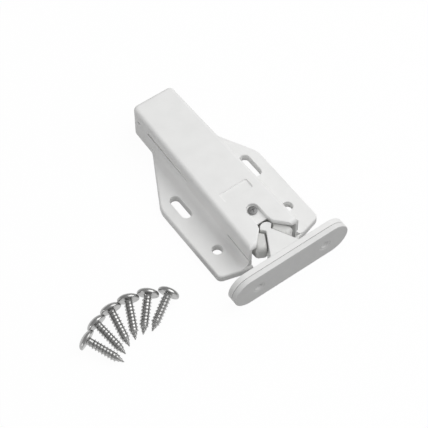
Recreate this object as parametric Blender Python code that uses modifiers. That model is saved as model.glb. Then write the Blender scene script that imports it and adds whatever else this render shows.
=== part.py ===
"""Push-to-open touch latch for a cabinet door, with its striker and six mounting screws.

Metres, +Z up. The mounting face is Z = 0. The origin is on the centre line, among the wing holes.
The mouth faces -Y. The latch stands shut: the slider is pushed in and the jaws hold the striker's knob.
"""
import bmesh
import bpy
from math import acos, atan2, cos, hypot, pi, radians, sin, sqrt, tan
from mathutils import Matrix, Vector

OBJECT_NAME = "touch_latch"

# Gap left between pieces that touch or run on each other
RUN_GAP = 0.0003
# How far a cutter reaches past the face that it opens
CUT_PAST = 0.001

# Housing body
FRONT_REACH = 0.0242
BODY_LENGTH = 0.0766
BODY_HEIGHT = 0.0147
BODY_HALF_FRONT = 0.0109
BODY_HALF_BACK = 0.0090
BODY_CORNER = 0.0025
BODY_TOP_ROUND = 0.0018
TOP_WALL = 0.0021
BACK_WALL = 0.0018
SIDE_WALL = 0.0018
BAY_WALL = 0.0021
MOUTH_FLARE = 0.0010
FLARE_LENGTH = 0.0042

# Mounting wings
WING_HALF = 0.0225
WING_THICKNESS = 0.0032
WING_EDGE_ROUND = 0.0009
WING_BACK_Y = 0.0147
WING_FRONT_REACH = 0.0219
WING_CORNER = 0.0022
WING_FRONT_SLOPE = 0.287
WING_NOSE_HALF = 0.0086
WING_FLARE_SLOPE = 1.80
WING_FLARE_ROUND = 0.0060
WALL_FILLET = 0.0031
FILLET_MARGIN = 0.0006
HOLE_PITCH_X = 0.0320
HOLE_PITCH_Y = 0.0228
HOLE_AHEAD = 0.0119
HOLE_DIAMETER = 0.0040
SLOT_LENGTH = 0.0110

# Marks on the outside of the body
CREASE_BACK_Y = -0.0107
CREASE_HEIGHT = 0.0008
CREASE_DEPTH = 0.0005
GROOVE_Z = 0.0088
GROOVE_HEIGHT = 0.0012
GROOVE_DEPTH = 0.0006
GROOVE_FRONT_Y = 0.0146
GROOVE_BACK_Y = 0.0418
DASH_FRONT_Y = 0.0468
DASH_LENGTH = 0.0018
LABEL_SIZE_X = 0.0122
LABEL_SIZE_Y = 0.0044
LABEL_BEHIND = 0.0100
LABEL_DEPTH = 0.0003

# Striker: knob, neck, web and oval plate
KNOB_RADIUS = 0.0025
KNOB_SETBACK = 0.0044
STRIKER_BOTTOM = 0.0028
NECK_HALF = 0.0010
NECK_AHEAD = 0.00095
WEB_FLANK_ANGLE = radians(29.0)
WEB_FILLET = 0.0008
WEB_DROP = 0.0015
PLATE_BACK_AHEAD = 0.01105
PLATE_HALF = 0.0252
PLATE_DROP = 0.0003
PLATE_BOTTOM = 0.0001
PLATE_THICKNESS = 0.0021
PAD_THICKNESS = 0.0019
PLATE_EDGE_ROUND = 0.0003
PLATE_SCREW_X = 0.01475
PLATE_SCREW_BORE = 0.0034
DIMPLE_DIAMETER = 0.0046
DIMPLE_DEPTH = 0.0005

# Mouth in the top wall and the recess behind it
THROAT_BACK_HALF = 0.0024
THROAT_FRONT_HALF = 0.0030
THROAT_LENGTH = 0.0024
THROAT_BACK_GAP = 0.0005
MOUTH_HALF = 0.0080
RECESS_HALF = 0.0024
RECESS_DEPTH = 0.0014

# Jaws, their pins and springs
JAW_SETBACK = 0.0082
JAW_RING_RADIUS = 0.0029
JAW_SIDE_GAP = 0.0005
JAW_GAP = 0.0004
JAW_FREE_GAP = 0.0004
JAW_TOP_GAP = 0.0004
JAW_TIP_AHEAD = 0.0069
JAW_TIP_SLANT = 0.0026
JAW_TIP_ROUND = 0.0010
JAW_HOOK_FLAT = 0.0005
JAW_TOP_ROUND = 0.0006
PIN_RADIUS = 0.0010
PIN_FLOOR = 0.0012
JAW_POCKET_DEPTH = 0.0026
JAW_SPRING_WIRE = 0.00022
JAW_SPRING_TURNS = 2.0
JAW_SPRING_PITCH = 0.0009

# Slider
STROKE = 0.0028
SLIDER_LIFT = 0.0004
SLIDER_PLATE = 0.0038
SLIDER_WIDE_GAP = 0.0008
SLIDER_WIDE_AHEAD = 0.0022
SLIDER_WIDE_BEHIND = 0.0046
BAY_BACK_SPARE = 0.0034
NOTCH_GAP = 0.00035
PUSH_SIDE_GAP = 0.0003
PUSH_BLOCK_LENGTH = 0.00305
PUSH_BLOCK_UNDER = 0.0006
BLOCK_UNDER = 0.0007
BLOCK_STEP = 0.0002
RING_TO_BLOCK = 0.0004
BORE_BEHIND_PIN = 0.0034
BORE_LENGTH = 0.0180

# Pivot screw, collar and cam follower
PIVOT_BEHIND = 0.0060
PIVOT_SHANK_RADIUS = 0.00125
PIVOT_HEAD_RADIUS = 0.0018
PIVOT_HEAD_HEIGHT = 0.0005
PIVOT_CROSS_LENGTH = 0.0025
PIVOT_CROSS_WIDTH = 0.0005
PIVOT_CROSS_DEPTH = 0.0003
FOLLOWER_RING_RADIUS = 0.0021
FOLLOWER_THICKNESS = 0.0008
FOLLOWER_LENGTH = 0.0120
FOLLOWER_TIP_HALF = 0.0011
FOLLOWER_PIN_RADIUS = 0.0007
FOLLOWER_TOP_GAP = 0.0005
FOLLOWER_SWING_ANGLE = radians(14.0)
COLLAR_HEIGHT = 0.0010
TRACK_GAP = 0.00035
TRACK_DEPTH = 0.0011

# Push spring and its guide
PUSH_SPRING_RADIUS = 0.00195
PUSH_SPRING_WIRE = 0.00035
PUSH_SPRING_TURNS = 20
PUSH_SPRING_GAP = 0.0004
GUIDE_ROD_RADIUS = 0.0012
GUIDE_FLANGE_RADIUS = 0.0039
GUIDE_FLANGE_THICKNESS = 0.0015
GUIDE_ROD_SPARE = 0.0030

# Base cover
COVER_THICKNESS = 0.0016
COVER_AHEAD = 0.0023
LUG_LENGTH = 0.0040
LUG_OUT = 0.0006
LUG_BOTTOM = 0.0006
LUG_HEIGHT = 0.0006
LUG_INSET = 0.0120
RIB_HALF = 0.0020
RIB_LENGTH = 0.0020
RIB_HEIGHT = 0.0014
RIB_BEHIND_BLOCK = 0.0032

# Six mounting screws, lying in a fan beside the latch
SCREW_COUNT = 6
SCREW_LENGTH = 0.0140
SCREW_SHANK_RADIUS = 0.0017
SCREW_POINT_LENGTH = 0.0038
SCREW_HEAD_RADIUS = 0.0040
SCREW_HEAD_HEIGHT = 0.0024
SCREW_RIM = 0.0006
SCREW_CROSS_LENGTH = 0.0038
SCREW_CROSS_WIDTH = 0.0009
SCREW_CROSS_DEPTH = 0.0012
FAN_CENTRE_X = -0.05855
FAN_CENTRE_Y = -0.0368
FAN_RADIUS = 0.0270
FAN_START_ANGLE = radians(127.0)
FAN_STEP_ANGLE = radians(15.8)
FAN_TURN_START_ANGLE = radians(116.0)
FAN_TURN_STEP_ANGLE = radians(16.9)
FLOOR_GAP = 0.0003

# Places along the latch, from the mouth to the back
FRONT_Y = -FRONT_REACH
BACK_Y = FRONT_Y + BODY_LENGTH
CAVITY_BACK_Y = BACK_Y - BACK_WALL
KNOB_Y = FRONT_Y + KNOB_SETBACK
KNOB_BACK_Y = KNOB_Y + KNOB_RADIUS
JAW_PIVOT_Y = FRONT_Y + JAW_SETBACK
PUSH_BLOCK_Y = KNOB_BACK_Y + RUN_GAP
THROAT_BACK_Y = KNOB_BACK_Y + THROAT_BACK_GAP
PIVOT_Y = KNOB_BACK_Y + PIVOT_BEHIND
WIDE_BACK_Y = JAW_PIVOT_Y + SLIDER_WIDE_BEHIND
BAY_BACK_Y = WIDE_BACK_Y + BAY_BACK_SPARE
BLOCK_FRONT_Y = PIVOT_Y + FOLLOWER_RING_RADIUS + STROKE + RING_TO_BLOCK
FOLLOWER_PIN_Y = PIVOT_Y + FOLLOWER_LENGTH
BORE_FRONT_Y = FOLLOWER_PIN_Y + BORE_BEHIND_PIN
SLIDER_BACK_Y = BORE_FRONT_Y + BORE_LENGTH
COVER_FRONT_Y = JAW_PIVOT_Y + COVER_AHEAD
COVER_BACK_Y = CAVITY_BACK_Y - RUN_GAP

# Heights
CEILING_Z = BODY_HEIGHT - TOP_WALL
RECESS_Z = BODY_HEIGHT - RECESS_DEPTH
WEB_TOP = BODY_HEIGHT - WEB_DROP
PLATE_TOP = BODY_HEIGHT - PLATE_DROP
PLATE_HEIGHT = PLATE_TOP - PLATE_BOTTOM
FOLLOWER_TOP = CEILING_Z - FOLLOWER_TOP_GAP
FOLLOWER_BOTTOM = FOLLOWER_TOP - FOLLOWER_THICKNESS
COLLAR_TOP = FOLLOWER_BOTTOM - RUN_GAP
COLLAR_BOTTOM = COLLAR_TOP - COLLAR_HEIGHT
BLOCK_TOP = FOLLOWER_BOTTOM - BLOCK_UNDER
PUSH_BLOCK_TOP = COLLAR_BOTTOM - PUSH_BLOCK_UNDER
TRACK_FLOOR = BLOCK_TOP - TRACK_DEPTH
SLIDER_BOTTOM = COVER_THICKNESS + SLIDER_LIFT
SLIDER_PLATE_TOP = SLIDER_BOTTOM + SLIDER_PLATE
JAW_BOTTOM = SLIDER_PLATE_TOP + RUN_GAP
JAW_TOP = CEILING_Z - JAW_TOP_GAP
PIN_BOTTOM = SLIDER_BOTTOM + PIN_FLOOR
BORE_RADIUS = PUSH_SPRING_RADIUS + PUSH_SPRING_WIRE + PUSH_SPRING_GAP
PUSH_AXIS_Z = COVER_THICKNESS + RUN_GAP + GUIDE_FLANGE_RADIUS

# Widths
CAVITY_HALF = BODY_HALF_BACK - SIDE_WALL
BAY_HALF = BODY_HALF_FRONT - BAY_WALL
SLIDER_HALF = CAVITY_HALF - RUN_GAP
WIDE_HALF = BAY_HALF - SLIDER_WIDE_GAP
JAW_PIVOT_X = BAY_HALF - JAW_SIDE_GAP - JAW_RING_RADIUS
PUSH_BLOCK_HALF = JAW_PIVOT_X - JAW_RING_RADIUS - PUSH_SIDE_GAP
PIN_BORE = PIN_RADIUS + RUN_GAP
WALL_TAPER = (BODY_HALF_BACK - BODY_HALF_FRONT) / BODY_LENGTH


def wall_x(y):
    """Half width of the tapering body at one place along it."""
    return BODY_HALF_FRONT + WALL_TAPER * (y - FRONT_Y)


# Start from an empty scene
for old in list(bpy.data.objects):
    bpy.data.objects.remove(old, do_unlink=True)

scene = bpy.context.scene
parts = bpy.data.collections.new(OBJECT_NAME)
cutters = bpy.data.collections.new("cutters")
scene.collection.children.link(parts)
scene.collection.children.link(cutters)


def material(name, colour, roughness, metallic):
    """A Principled material with one colour."""
    made = bpy.data.materials.new(name)
    made.use_nodes = True
    shader = made.node_tree.nodes["Principled BSDF"]
    shader.inputs["Base Color"].default_value = (*colour, 1.0)
    shader.inputs["Roughness"].default_value = roughness
    shader.inputs["Metallic"].default_value = metallic
    return made


def arc(centre_x, centre_y, radius, start, end, steps):
    """Points of an arc, both ends included."""
    points = []
    for i in range(steps + 1):
        turn = start + (end - start) * i / steps
        points.append((centre_x + radius * cos(turn), centre_y + radius * sin(turn)))
    return points


def rounded(points, radii, steps=4):
    """An outline with some of its corners rounded to a radius."""
    made = []
    count = len(points)
    for i, (corner, radius) in enumerate(zip(points, radii)):
        here = Vector(corner)
        if radius == 0:
            made.append(corner)
            continue
        before = (Vector(points[i - 1]) - here).normalized()
        after = (Vector(points[(i + 1) % count]) - here).normalized()
        half = before.angle(after) / 2
        centre = here + (before + after).normalized() * radius / sin(half)
        first = here + before * radius / tan(half) - centre
        last = here + after * radius / tan(half) - centre
        turn = first.angle_signed(last)
        for k in range(steps + 1):
            step = Matrix.Rotation(-turn * k / steps, 2) @ first
            made.append(tuple(centre + step))
    return made


def place(name, mesh, origin, group):
    """A new object whose mesh, drawn in world places, turns about the given origin."""
    mesh.name = name
    mesh.transform(Matrix.Translation(-Vector(origin)))
    made = bpy.data.objects.new(name, mesh)
    made.location = origin
    group.objects.link(made)
    if group is cutters:
        made.hide_render = True
        made.display_type = "WIRE"
    return made


def prism(name, outline, low, high, axis="Z", origin=(0, 0, 0), group=cutters):
    """A flat outline thickened between two places along an axis."""
    flat = bpy.data.curves.new(name, "CURVE")
    flat.dimensions = "2D"
    flat.fill_mode = "BOTH"
    flat.extrude = (high - low) / 2
    line = flat.splines.new("POLY")
    line.points.add(len(outline) - 1)
    for point, (u, v) in zip(line.points, outline):
        point.co = (u, v, 0, 1)
    line.use_cyclic_u = True
    drawn = bpy.data.objects.new(name, flat)
    cutters.objects.link(drawn)
    graph = bpy.context.evaluated_depsgraph_get()
    mesh = bpy.data.meshes.new_from_object(drawn.evaluated_get(graph))
    bpy.data.objects.remove(drawn, do_unlink=True)
    bpy.data.curves.remove(flat)
    work = bmesh.new()
    work.from_mesh(mesh)
    bmesh.ops.remove_doubles(work, verts=work.verts, dist=1e-7)
    bmesh.ops.dissolve_limit(work, angle_limit=radians(0.5), verts=work.verts, edges=work.edges)
    bmesh.ops.recalc_face_normals(work, faces=work.faces)
    work.to_mesh(mesh)
    work.free()
    middle = (low + high) / 2
    if axis == "Z":
        mesh.transform(Matrix.Translation((0, 0, middle)))
    if axis == "Y":
        mesh.transform(Matrix.Translation((0, middle, 0)) @ Matrix.Rotation(pi / 2, 4, "X"))
    if axis == "X":
        turn = Matrix(((0, 0, 1, middle), (1, 0, 0, 0), (0, 1, 0, 0), (0, 0, 0, 1)))
        mesh.transform(turn)
    return place(name, mesh, origin, group)


def box(name, x, y, z, origin=(0, 0, 0), group=cutters):
    """A block between pairs of places along the three axes."""
    work = bmesh.new()
    bmesh.ops.create_cube(work, size=1.0)
    size = Matrix.Diagonal((x[1] - x[0], y[1] - y[0], z[1] - z[0], 1))
    middle = Matrix.Translation(((x[0] + x[1]) / 2, (y[0] + y[1]) / 2, (z[0] + z[1]) / 2))
    bmesh.ops.transform(work, matrix=middle @ size, verts=work.verts)
    mesh = bpy.data.meshes.new(name)
    work.to_mesh(mesh)
    work.free()
    return place(name, mesh, origin, group)


def rod(name, radius, low, high, centre, axis="Z", sides=24, origin=(0, 0, 0), group=cutters):
    """A round bar along Z through an (x, y) centre, or along Y through an (x, z) centre."""
    work = bmesh.new()
    bmesh.ops.create_cone(work, cap_ends=True, segments=sides, radius1=radius, radius2=radius,
                          depth=high - low)
    mesh = bpy.data.meshes.new(name)
    work.to_mesh(mesh)
    work.free()
    middle = (low + high) / 2
    if axis == "Z":
        mesh.transform(Matrix.Translation((centre[0], centre[1], middle)))
    else:
        move = Matrix.Translation((centre[0], middle, centre[1]))
        mesh.transform(move @ Matrix.Rotation(pi / 2, 4, "X"))
    return place(name, mesh, origin, group)


def combine(target, other, operation="DIFFERENCE"):
    """One exact Boolean step on the target."""
    step = target.modifiers.new(other.name, "BOOLEAN")
    step.operation = operation
    step.solver = "EXACT"
    step.object = other
    return step


def round_edges(target, width, segments, chosen):
    """A Bevel on the edges whose two ends the test accepts, in the piece's own places."""
    mesh = target.data
    weights = mesh.attributes.new("bevel_weight_edge", "FLOAT", "EDGE")
    for edge in mesh.edges:
        ends = [mesh.vertices[i].co for i in edge.vertices]
        weights.data[edge.index].value = 1.0 if chosen(ends[0]) and chosen(ends[1]) else 0.0
    step = target.modifiers.new("rounded_edges", "BEVEL")
    step.limit_method = "WEIGHT"
    step.width = width
    step.segments = segments
    return step


def finish(target, look):
    """Give a piece its material."""
    target.data.materials.clear()
    target.data.materials.append(look)


def carry(child, parent):
    """Parent a piece and leave it where it is."""
    child.parent = parent
    child.matrix_parent_inverse = Matrix.Translation(-Vector(parent.location))


def coil(name, points, wire):
    """A round wire along points, with filled ends, as a mesh."""
    line = bpy.data.curves.new(name, "CURVE")
    line.dimensions = "3D"
    line.bevel_depth = wire
    line.bevel_resolution = 1
    line.use_fill_caps = True
    path = line.splines.new("POLY")
    path.points.add(len(points) - 1)
    for point, co in zip(path.points, points):
        point.co = (*co, 1)
    drawn = bpy.data.objects.new(name, line)
    cutters.objects.link(drawn)
    graph = bpy.context.evaluated_depsgraph_get()
    mesh = bpy.data.meshes.new_from_object(drawn.evaluated_get(graph))
    bpy.data.objects.remove(drawn, do_unlink=True)
    bpy.data.curves.remove(line)
    work = bmesh.new()
    work.from_mesh(mesh)
    bmesh.ops.remove_doubles(work, verts=work.verts, dist=1e-7)
    bmesh.ops.recalc_face_normals(work, faces=work.faces)
    work.to_mesh(mesh)
    work.free()
    return mesh


def least_self_gap(points, wire, per_turn):
    """Smallest gap between stretches of a wire that lie more than half a turn apart."""
    least = 1.0
    for i in range(len(points)):
        for j in range(i + per_turn // 2 + 1, min(len(points), i + 2 * per_turn)):
            least = min(least, (Vector(points[i]) - Vector(points[j])).length)
    return least - 2 * wire


white = material("white_moulded_plastic", (0.86, 0.86, 0.85), 0.45, 0.0)
white_inner = material("white_slider_plastic", (0.80, 0.80, 0.78), 0.40, 0.0)
jaw_white = material("white_acetal", (0.78, 0.78, 0.77), 0.35, 0.0)
striker_white = material("white_striker_plastic", (0.84, 0.84, 0.83), 0.42, 0.0)
pad_white = material("white_pad_plastic", (0.70, 0.70, 0.69), 0.50, 0.0)
cover_grey = material("pale_grey_plastic", (0.62, 0.62, 0.61), 0.50, 0.0)
screw_steel = material("nickel_plated_steel", (0.66, 0.66, 0.64), 0.28, 1.0)
dark_steel = material("dark_plated_steel", (0.22, 0.22, 0.22), 0.40, 1.0)
spring_steel = material("spring_steel", (0.48, 0.48, 0.48), 0.30, 1.0)
pin_steel = material("ground_steel", (0.58, 0.58, 0.58), 0.25, 1.0)

# Housing: the tapering body
outline = [(-BODY_HALF_FRONT, FRONT_Y), (BODY_HALF_FRONT, FRONT_Y),
           (BODY_HALF_BACK, BACK_Y), (-BODY_HALF_BACK, BACK_Y)]
outline = rounded(outline, (0, 0, BODY_CORNER, BODY_CORNER))
housing = prism("housing", outline, 0, BODY_HEIGHT, group=parts)
round_edges(housing, BODY_TOP_ROUND, 4, lambda co: co.z > BODY_HEIGHT / 2)

# Housing: the two wings, drawn as one plate that runs under the body
WING_FRONT_Y = -WING_FRONT_REACH
nose_y = WING_FRONT_Y - WING_FRONT_SLOPE * (WING_HALF - WING_NOSE_HALF)
flare_back_y = WING_BACK_Y + WING_FLARE_SLOPE * (WING_HALF - BODY_HALF_BACK)
flare_x = wall_x(flare_back_y)


def wing_outline(inset):
    """Plan of the wings, drawn in from the flared edges by an inset."""
    back = flare_back_y - inset * hypot(1, WING_FLARE_SLOPE)
    half = [(0, nose_y), (WING_NOSE_HALF, nose_y), (WING_HALF - inset, WING_FRONT_Y),
            (WING_HALF - inset, WING_BACK_Y - inset), (flare_x, back), (flare_x - CUT_PAST, CAVITY_BACK_Y)]
    radii = [0, 0, WING_CORNER, WING_CORNER, WING_FLARE_ROUND, 0]
    mirrored = [(-x, y) for x, y in reversed(half[1:])]
    return rounded(half[1:] + mirrored, radii[1:] + list(reversed(radii[1:])), 3)


wings = prism("wings", wing_outline(0), 0, WING_THICKNESS)
round_edges(wings, WING_EDGE_ROUND, 2, lambda co: co.z > WING_THICKNESS / 2)
combine(housing, wings, "UNION")

# Housing: the hollow fillet between each wall and its wing
fillet_top = WING_THICKNESS + WALL_FILLET
fillet_limit = prism("fillet_limit", wing_outline(FILLET_MARGIN), -CUT_PAST, BODY_HEIGHT)
for side, name in ((-1, "fillet_left"), (1, "fillet_right")):
    sunk = WING_THICKNESS / 2
    profile = [(-BAY_WALL / 2, sunk), (WALL_FILLET, sunk)]
    profile += arc(WALL_FILLET, fillet_top, WALL_FILLET, -pi / 2, -pi, 5)
    profile += [(-BAY_WALL / 2, fillet_top)]
    profile = [(side * u, v) for u, v in profile]
    fillet = prism(name, profile, FRONT_Y + FILLET_MARGIN, flare_back_y, axis="Y")
    shear = Matrix.Identity(4)
    shear[0][1] = side * WALL_TAPER
    shear[0][3] = side * wall_x(0)
    fillet.data.transform(shear)
    combine(fillet, fillet_limit, "INTERSECT")
    combine(housing, fillet, "UNION")

# Housing: the hollow for the slider, open below, and the wider bay for the jaws, open in front
cavity = box("cavity", (-CAVITY_HALF, CAVITY_HALF), (BAY_BACK_Y - CUT_PAST, CAVITY_BACK_Y),
             (-CUT_PAST, CEILING_Z))
combine(housing, cavity)
flare_half = BAY_HALF + MOUTH_FLARE
bay_outline = [(-flare_half, nose_y - CUT_PAST), (flare_half, nose_y - CUT_PAST), (flare_half, FRONT_Y),
               (BAY_HALF, FRONT_Y + FLARE_LENGTH), (BAY_HALF, BAY_BACK_Y), (-BAY_HALF, BAY_BACK_Y),
               (-BAY_HALF, FRONT_Y + FLARE_LENGTH), (-flare_half, FRONT_Y)]
bay = prism("bay", bay_outline, -CUT_PAST, CEILING_Z)
combine(housing, bay)

# Housing: the flared mouth in the top wall, with its narrow throat
throat_front_y = THROAT_BACK_Y - THROAT_LENGTH
mouth_y = throat_front_y - (MOUTH_HALF - THROAT_FRONT_HALF)
mouth_half = [(THROAT_BACK_HALF, THROAT_BACK_Y), (THROAT_FRONT_HALF, throat_front_y), (MOUTH_HALF, mouth_y),
              (MOUTH_HALF, nose_y - CUT_PAST)]
mouth_outline = mouth_half + [(-x, y) for x, y in reversed(mouth_half)]
mouth = prism("mouth", mouth_outline, CEILING_Z - CUT_PAST, BODY_HEIGHT + CUT_PAST)
combine(housing, mouth)

# Housing: the sunk recess round the pivot screw, and the screw's hole
recess_outline = arc(0, PIVOT_Y, RECESS_HALF, 0, pi, 12)
recess_outline += [(-RECESS_HALF, THROAT_BACK_Y - CUT_PAST / 2), (RECESS_HALF, THROAT_BACK_Y - CUT_PAST / 2)]
recess = prism("recess", recess_outline, RECESS_Z, BODY_HEIGHT + CUT_PAST)
combine(housing, recess)
pivot_bore = rod("pivot_bore", PIVOT_SHANK_RADIUS + RUN_GAP, CEILING_Z - CUT_PAST, BODY_HEIGHT + CUT_PAST,
                 (0, PIVOT_Y), sides=20)
combine(housing, pivot_bore)

# Housing: two round holes and two slots in the wings
for side in (-1, 1):
    hole_x = side * HOLE_PITCH_X / 2
    hole = rod("wing_hole", HOLE_DIAMETER / 2, -CUT_PAST, WING_THICKNESS + CUT_PAST,
               (hole_x, -HOLE_AHEAD), sides=20)
    combine(housing, hole)
    slot_y = HOLE_PITCH_Y - HOLE_AHEAD
    reach = (SLOT_LENGTH - HOLE_DIAMETER) / 2
    slot_outline = arc(hole_x, slot_y + reach, HOLE_DIAMETER / 2, 0, pi, 8)
    slot_outline += arc(hole_x, slot_y - reach, HOLE_DIAMETER / 2, pi, 2 * pi, 8)
    slot = prism("wing_slot", slot_outline, -CUT_PAST, WING_THICKNESS + CUT_PAST)
    combine(housing, slot)

# Housing: grooves along the outside of both walls
wall_marks = (("crease", FRONT_Y - CUT_PAST, CREASE_BACK_Y, fillet_top, CREASE_HEIGHT, CREASE_DEPTH),
              ("groove", GROOVE_FRONT_Y, GROOVE_BACK_Y, GROOVE_Z, GROOVE_HEIGHT, GROOVE_DEPTH),
              ("dash", DASH_FRONT_Y, DASH_FRONT_Y + DASH_LENGTH, GROOVE_Z, GROOVE_HEIGHT, GROOVE_DEPTH))
for side in (-1, 1):
    for name, front, back, low, height, depth in wall_marks:
        strip = [(wall_x(front) - depth, front), (wall_x(front) + CUT_PAST, front),
                 (wall_x(back) + CUT_PAST, back), (wall_x(back) - depth, back)]
        strip = [(side * x, y) for x, y in strip]
        combine(housing, prism(name, strip, low, low + height))

# Housing: the bare label panel, sunk a little
label_y = PIVOT_Y + LABEL_BEHIND
panel = box("label_panel", (-LABEL_SIZE_X / 2, LABEL_SIZE_X / 2),
            (label_y - LABEL_SIZE_Y / 2, label_y + LABEL_SIZE_Y / 2),
            (BODY_HEIGHT - LABEL_DEPTH, BODY_HEIGHT + CUT_PAST))
combine(housing, panel)

# Base cover, with snap lugs at its sides and a rib that stops the slider
cover = box("base_cover", (-SLIDER_HALF, SLIDER_HALF), (COVER_FRONT_Y, COVER_BACK_Y), (0, COVER_THICKNESS),
            group=parts)
rib_y = BLOCK_FRONT_Y + RIB_BEHIND_BLOCK
rib = box("stop_rib", (-RIB_HALF, RIB_HALF), (rib_y - RIB_LENGTH / 2, rib_y + RIB_LENGTH / 2),
          (COVER_THICKNESS / 2, COVER_THICKNESS + RIB_HEIGHT))
combine(cover, rib, "UNION")
lug_top = LUG_BOTTOM + LUG_HEIGHT
for side in (-1, 1):
    for lug_y in (BAY_BACK_Y + LUG_INSET, CAVITY_BACK_Y - LUG_INSET):
        inner = SLIDER_HALF - LUG_OUT
        outer = SLIDER_HALF + LUG_OUT
        across = sorted((side * inner, side * outer))
        lug = box("snap_lug", across, (lug_y - LUG_LENGTH / 2, lug_y + LUG_LENGTH / 2), (LUG_BOTTOM, lug_top))
        combine(cover, lug, "UNION")
        across = sorted((side * inner, side * (outer + RUN_GAP)))
        pocket_half = LUG_LENGTH / 2 + RUN_GAP
        pocket = box("lug_pocket", across, (lug_y - pocket_half, lug_y + pocket_half),
                     (LUG_BOTTOM - RUN_GAP, lug_top + RUN_GAP))
        combine(housing, pocket)
finish(housing, white)
finish(cover, cover_grey)

# Slider: base plate with a wide front and a notch for the knob
notch_half = KNOB_RADIUS + NOTCH_GAP
wide_front_y = JAW_PIVOT_Y - SLIDER_WIDE_AHEAD
plate_half = [(notch_half, PUSH_BLOCK_Y), (notch_half, wide_front_y), (WIDE_HALF, wide_front_y),
              (WIDE_HALF, WIDE_BACK_Y), (SLIDER_HALF, WIDE_BACK_Y), (SLIDER_HALF, SLIDER_BACK_Y)]
plate_outline = plate_half + [(-x, y) for x, y in reversed(plate_half)]
slider_home = (0, JAW_PIVOT_Y, SLIDER_BOTTOM)
slider = prism("slider", plate_outline, SLIDER_BOTTOM, SLIDER_PLATE_TOP, origin=slider_home, group=parts)
block_half = SLIDER_HALF - BLOCK_STEP
sunk_z = (SLIDER_BOTTOM + SLIDER_PLATE_TOP) / 2
block = box("rear_block", (-block_half, block_half), (BLOCK_FRONT_Y, SLIDER_BACK_Y - BLOCK_STEP),
            (sunk_z, BLOCK_TOP))
combine(slider, block, "UNION")
push_front_y = PUSH_BLOCK_Y + BLOCK_STEP
push = box("push_block", (-PUSH_BLOCK_HALF, PUSH_BLOCK_HALF),
           (push_front_y, PUSH_BLOCK_Y + PUSH_BLOCK_LENGTH), (sunk_z, PUSH_BLOCK_TOP))
combine(slider, push, "UNION")

# Slider: spring bore, cam track, groove for the stop rib, and holes for the jaw pins
bore = rod("spring_bore", BORE_RADIUS, BORE_FRONT_Y, SLIDER_BACK_Y + CUT_PAST, (0, PUSH_AXIS_Z), "Y")
combine(slider, bore)
track_half = FOLLOWER_PIN_RADIUS + TRACK_GAP
swing_x = FOLLOWER_LENGTH * sin(FOLLOWER_SWING_ANGLE)
swing_y = PIVOT_Y + FOLLOWER_LENGTH * cos(FOLLOWER_SWING_ANGLE) + STROKE
track_turn = atan2(FOLLOWER_PIN_Y - swing_y, swing_x)
for side, name in ((-1, "cam_track_left"), (1, "cam_track_right")):
    outline = arc(0, FOLLOWER_PIN_Y, track_half, pi / 2 - track_turn, 3 * pi / 2 - track_turn, 8)
    outline += arc(swing_x, swing_y, track_half, -pi / 2 - track_turn, pi / 2 - track_turn, 8)
    outline = [(side * x, y) for x, y in outline]
    combine(slider, prism(name, outline, TRACK_FLOOR, BLOCK_TOP + CUT_PAST))
rib_room = RIB_HALF + RUN_GAP
rib_groove = box("rib_groove", (-rib_room, rib_room),
                 (rib_y - RIB_LENGTH / 2 - RUN_GAP, rib_y + RIB_LENGTH / 2 + STROKE + RUN_GAP),
                 (SLIDER_BOTTOM - CUT_PAST, COVER_THICKNESS + RIB_HEIGHT + RUN_GAP))
combine(slider, rib_groove)
for side in (-1, 1):
    pin_hole = rod("pin_hole", PIN_BORE, PIN_BOTTOM - RUN_GAP, SLIDER_PLATE_TOP + CUT_PAST,
                   (side * JAW_PIVOT_X, JAW_PIVOT_Y), sides=20)
    combine(slider, pin_hole)
finish(slider, white_inner)

# Jaws: closed round the knob and the neck
NECK_Y = KNOB_Y - NECK_AHEAD
flank = tan(WEB_FLANK_ANGLE)
inner_x = KNOB_RADIUS + JAW_GAP
shoulder_shift = JAW_GAP * sqrt(2)
flank_shift = JAW_GAP / cos(WEB_FLANK_ANGLE)


def shoulder_y(x):
    """Place of the hook's rear face, which lies along the knob's shoulder."""
    return NECK_Y - shoulder_shift + x - NECK_HALF


def flank_x(y):
    """Place of the hook's front face, which lies along the web."""
    return NECK_HALF + flank_shift + flank * (NECK_Y - y)


apex_x = (NECK_HALF + flank_shift + flank * (shoulder_shift + NECK_HALF)) / (1 + flank)
apex_y = shoulder_y(apex_x)
flat_y = apex_y - JAW_HOOK_FLAT / 2
hook_x = apex_x + JAW_HOOK_FLAT / 2
tip_y = KNOB_Y - JAW_TIP_AHEAD
ring_end = radians(190.0)
ring_start = radians(-10.0)
jaw_outline = arc(JAW_PIVOT_X, JAW_PIVOT_Y, JAW_RING_RADIUS, ring_start, ring_end, 14)
jaw_outline += [(inner_x, KNOB_Y + KNOB_RADIUS / 2), (inner_x, shoulder_y(inner_x)),
                (hook_x, shoulder_y(hook_x)), (flank_x(flat_y), flat_y), (flank_x(tip_y), tip_y)]

# The slider's way out turns the jaws open until their hooks clear the knob
jaw_pivot = Vector((JAW_PIVOT_X, JAW_PIVOT_Y))
hook = Vector((flank_x(flat_y), flat_y)) - jaw_pivot
free_x = KNOB_RADIUS + JAW_FREE_GAP - JAW_PIVOT_X
JAW_OPEN = -acos(free_x / hook.length) - atan2(hook.y, hook.x)

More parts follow.
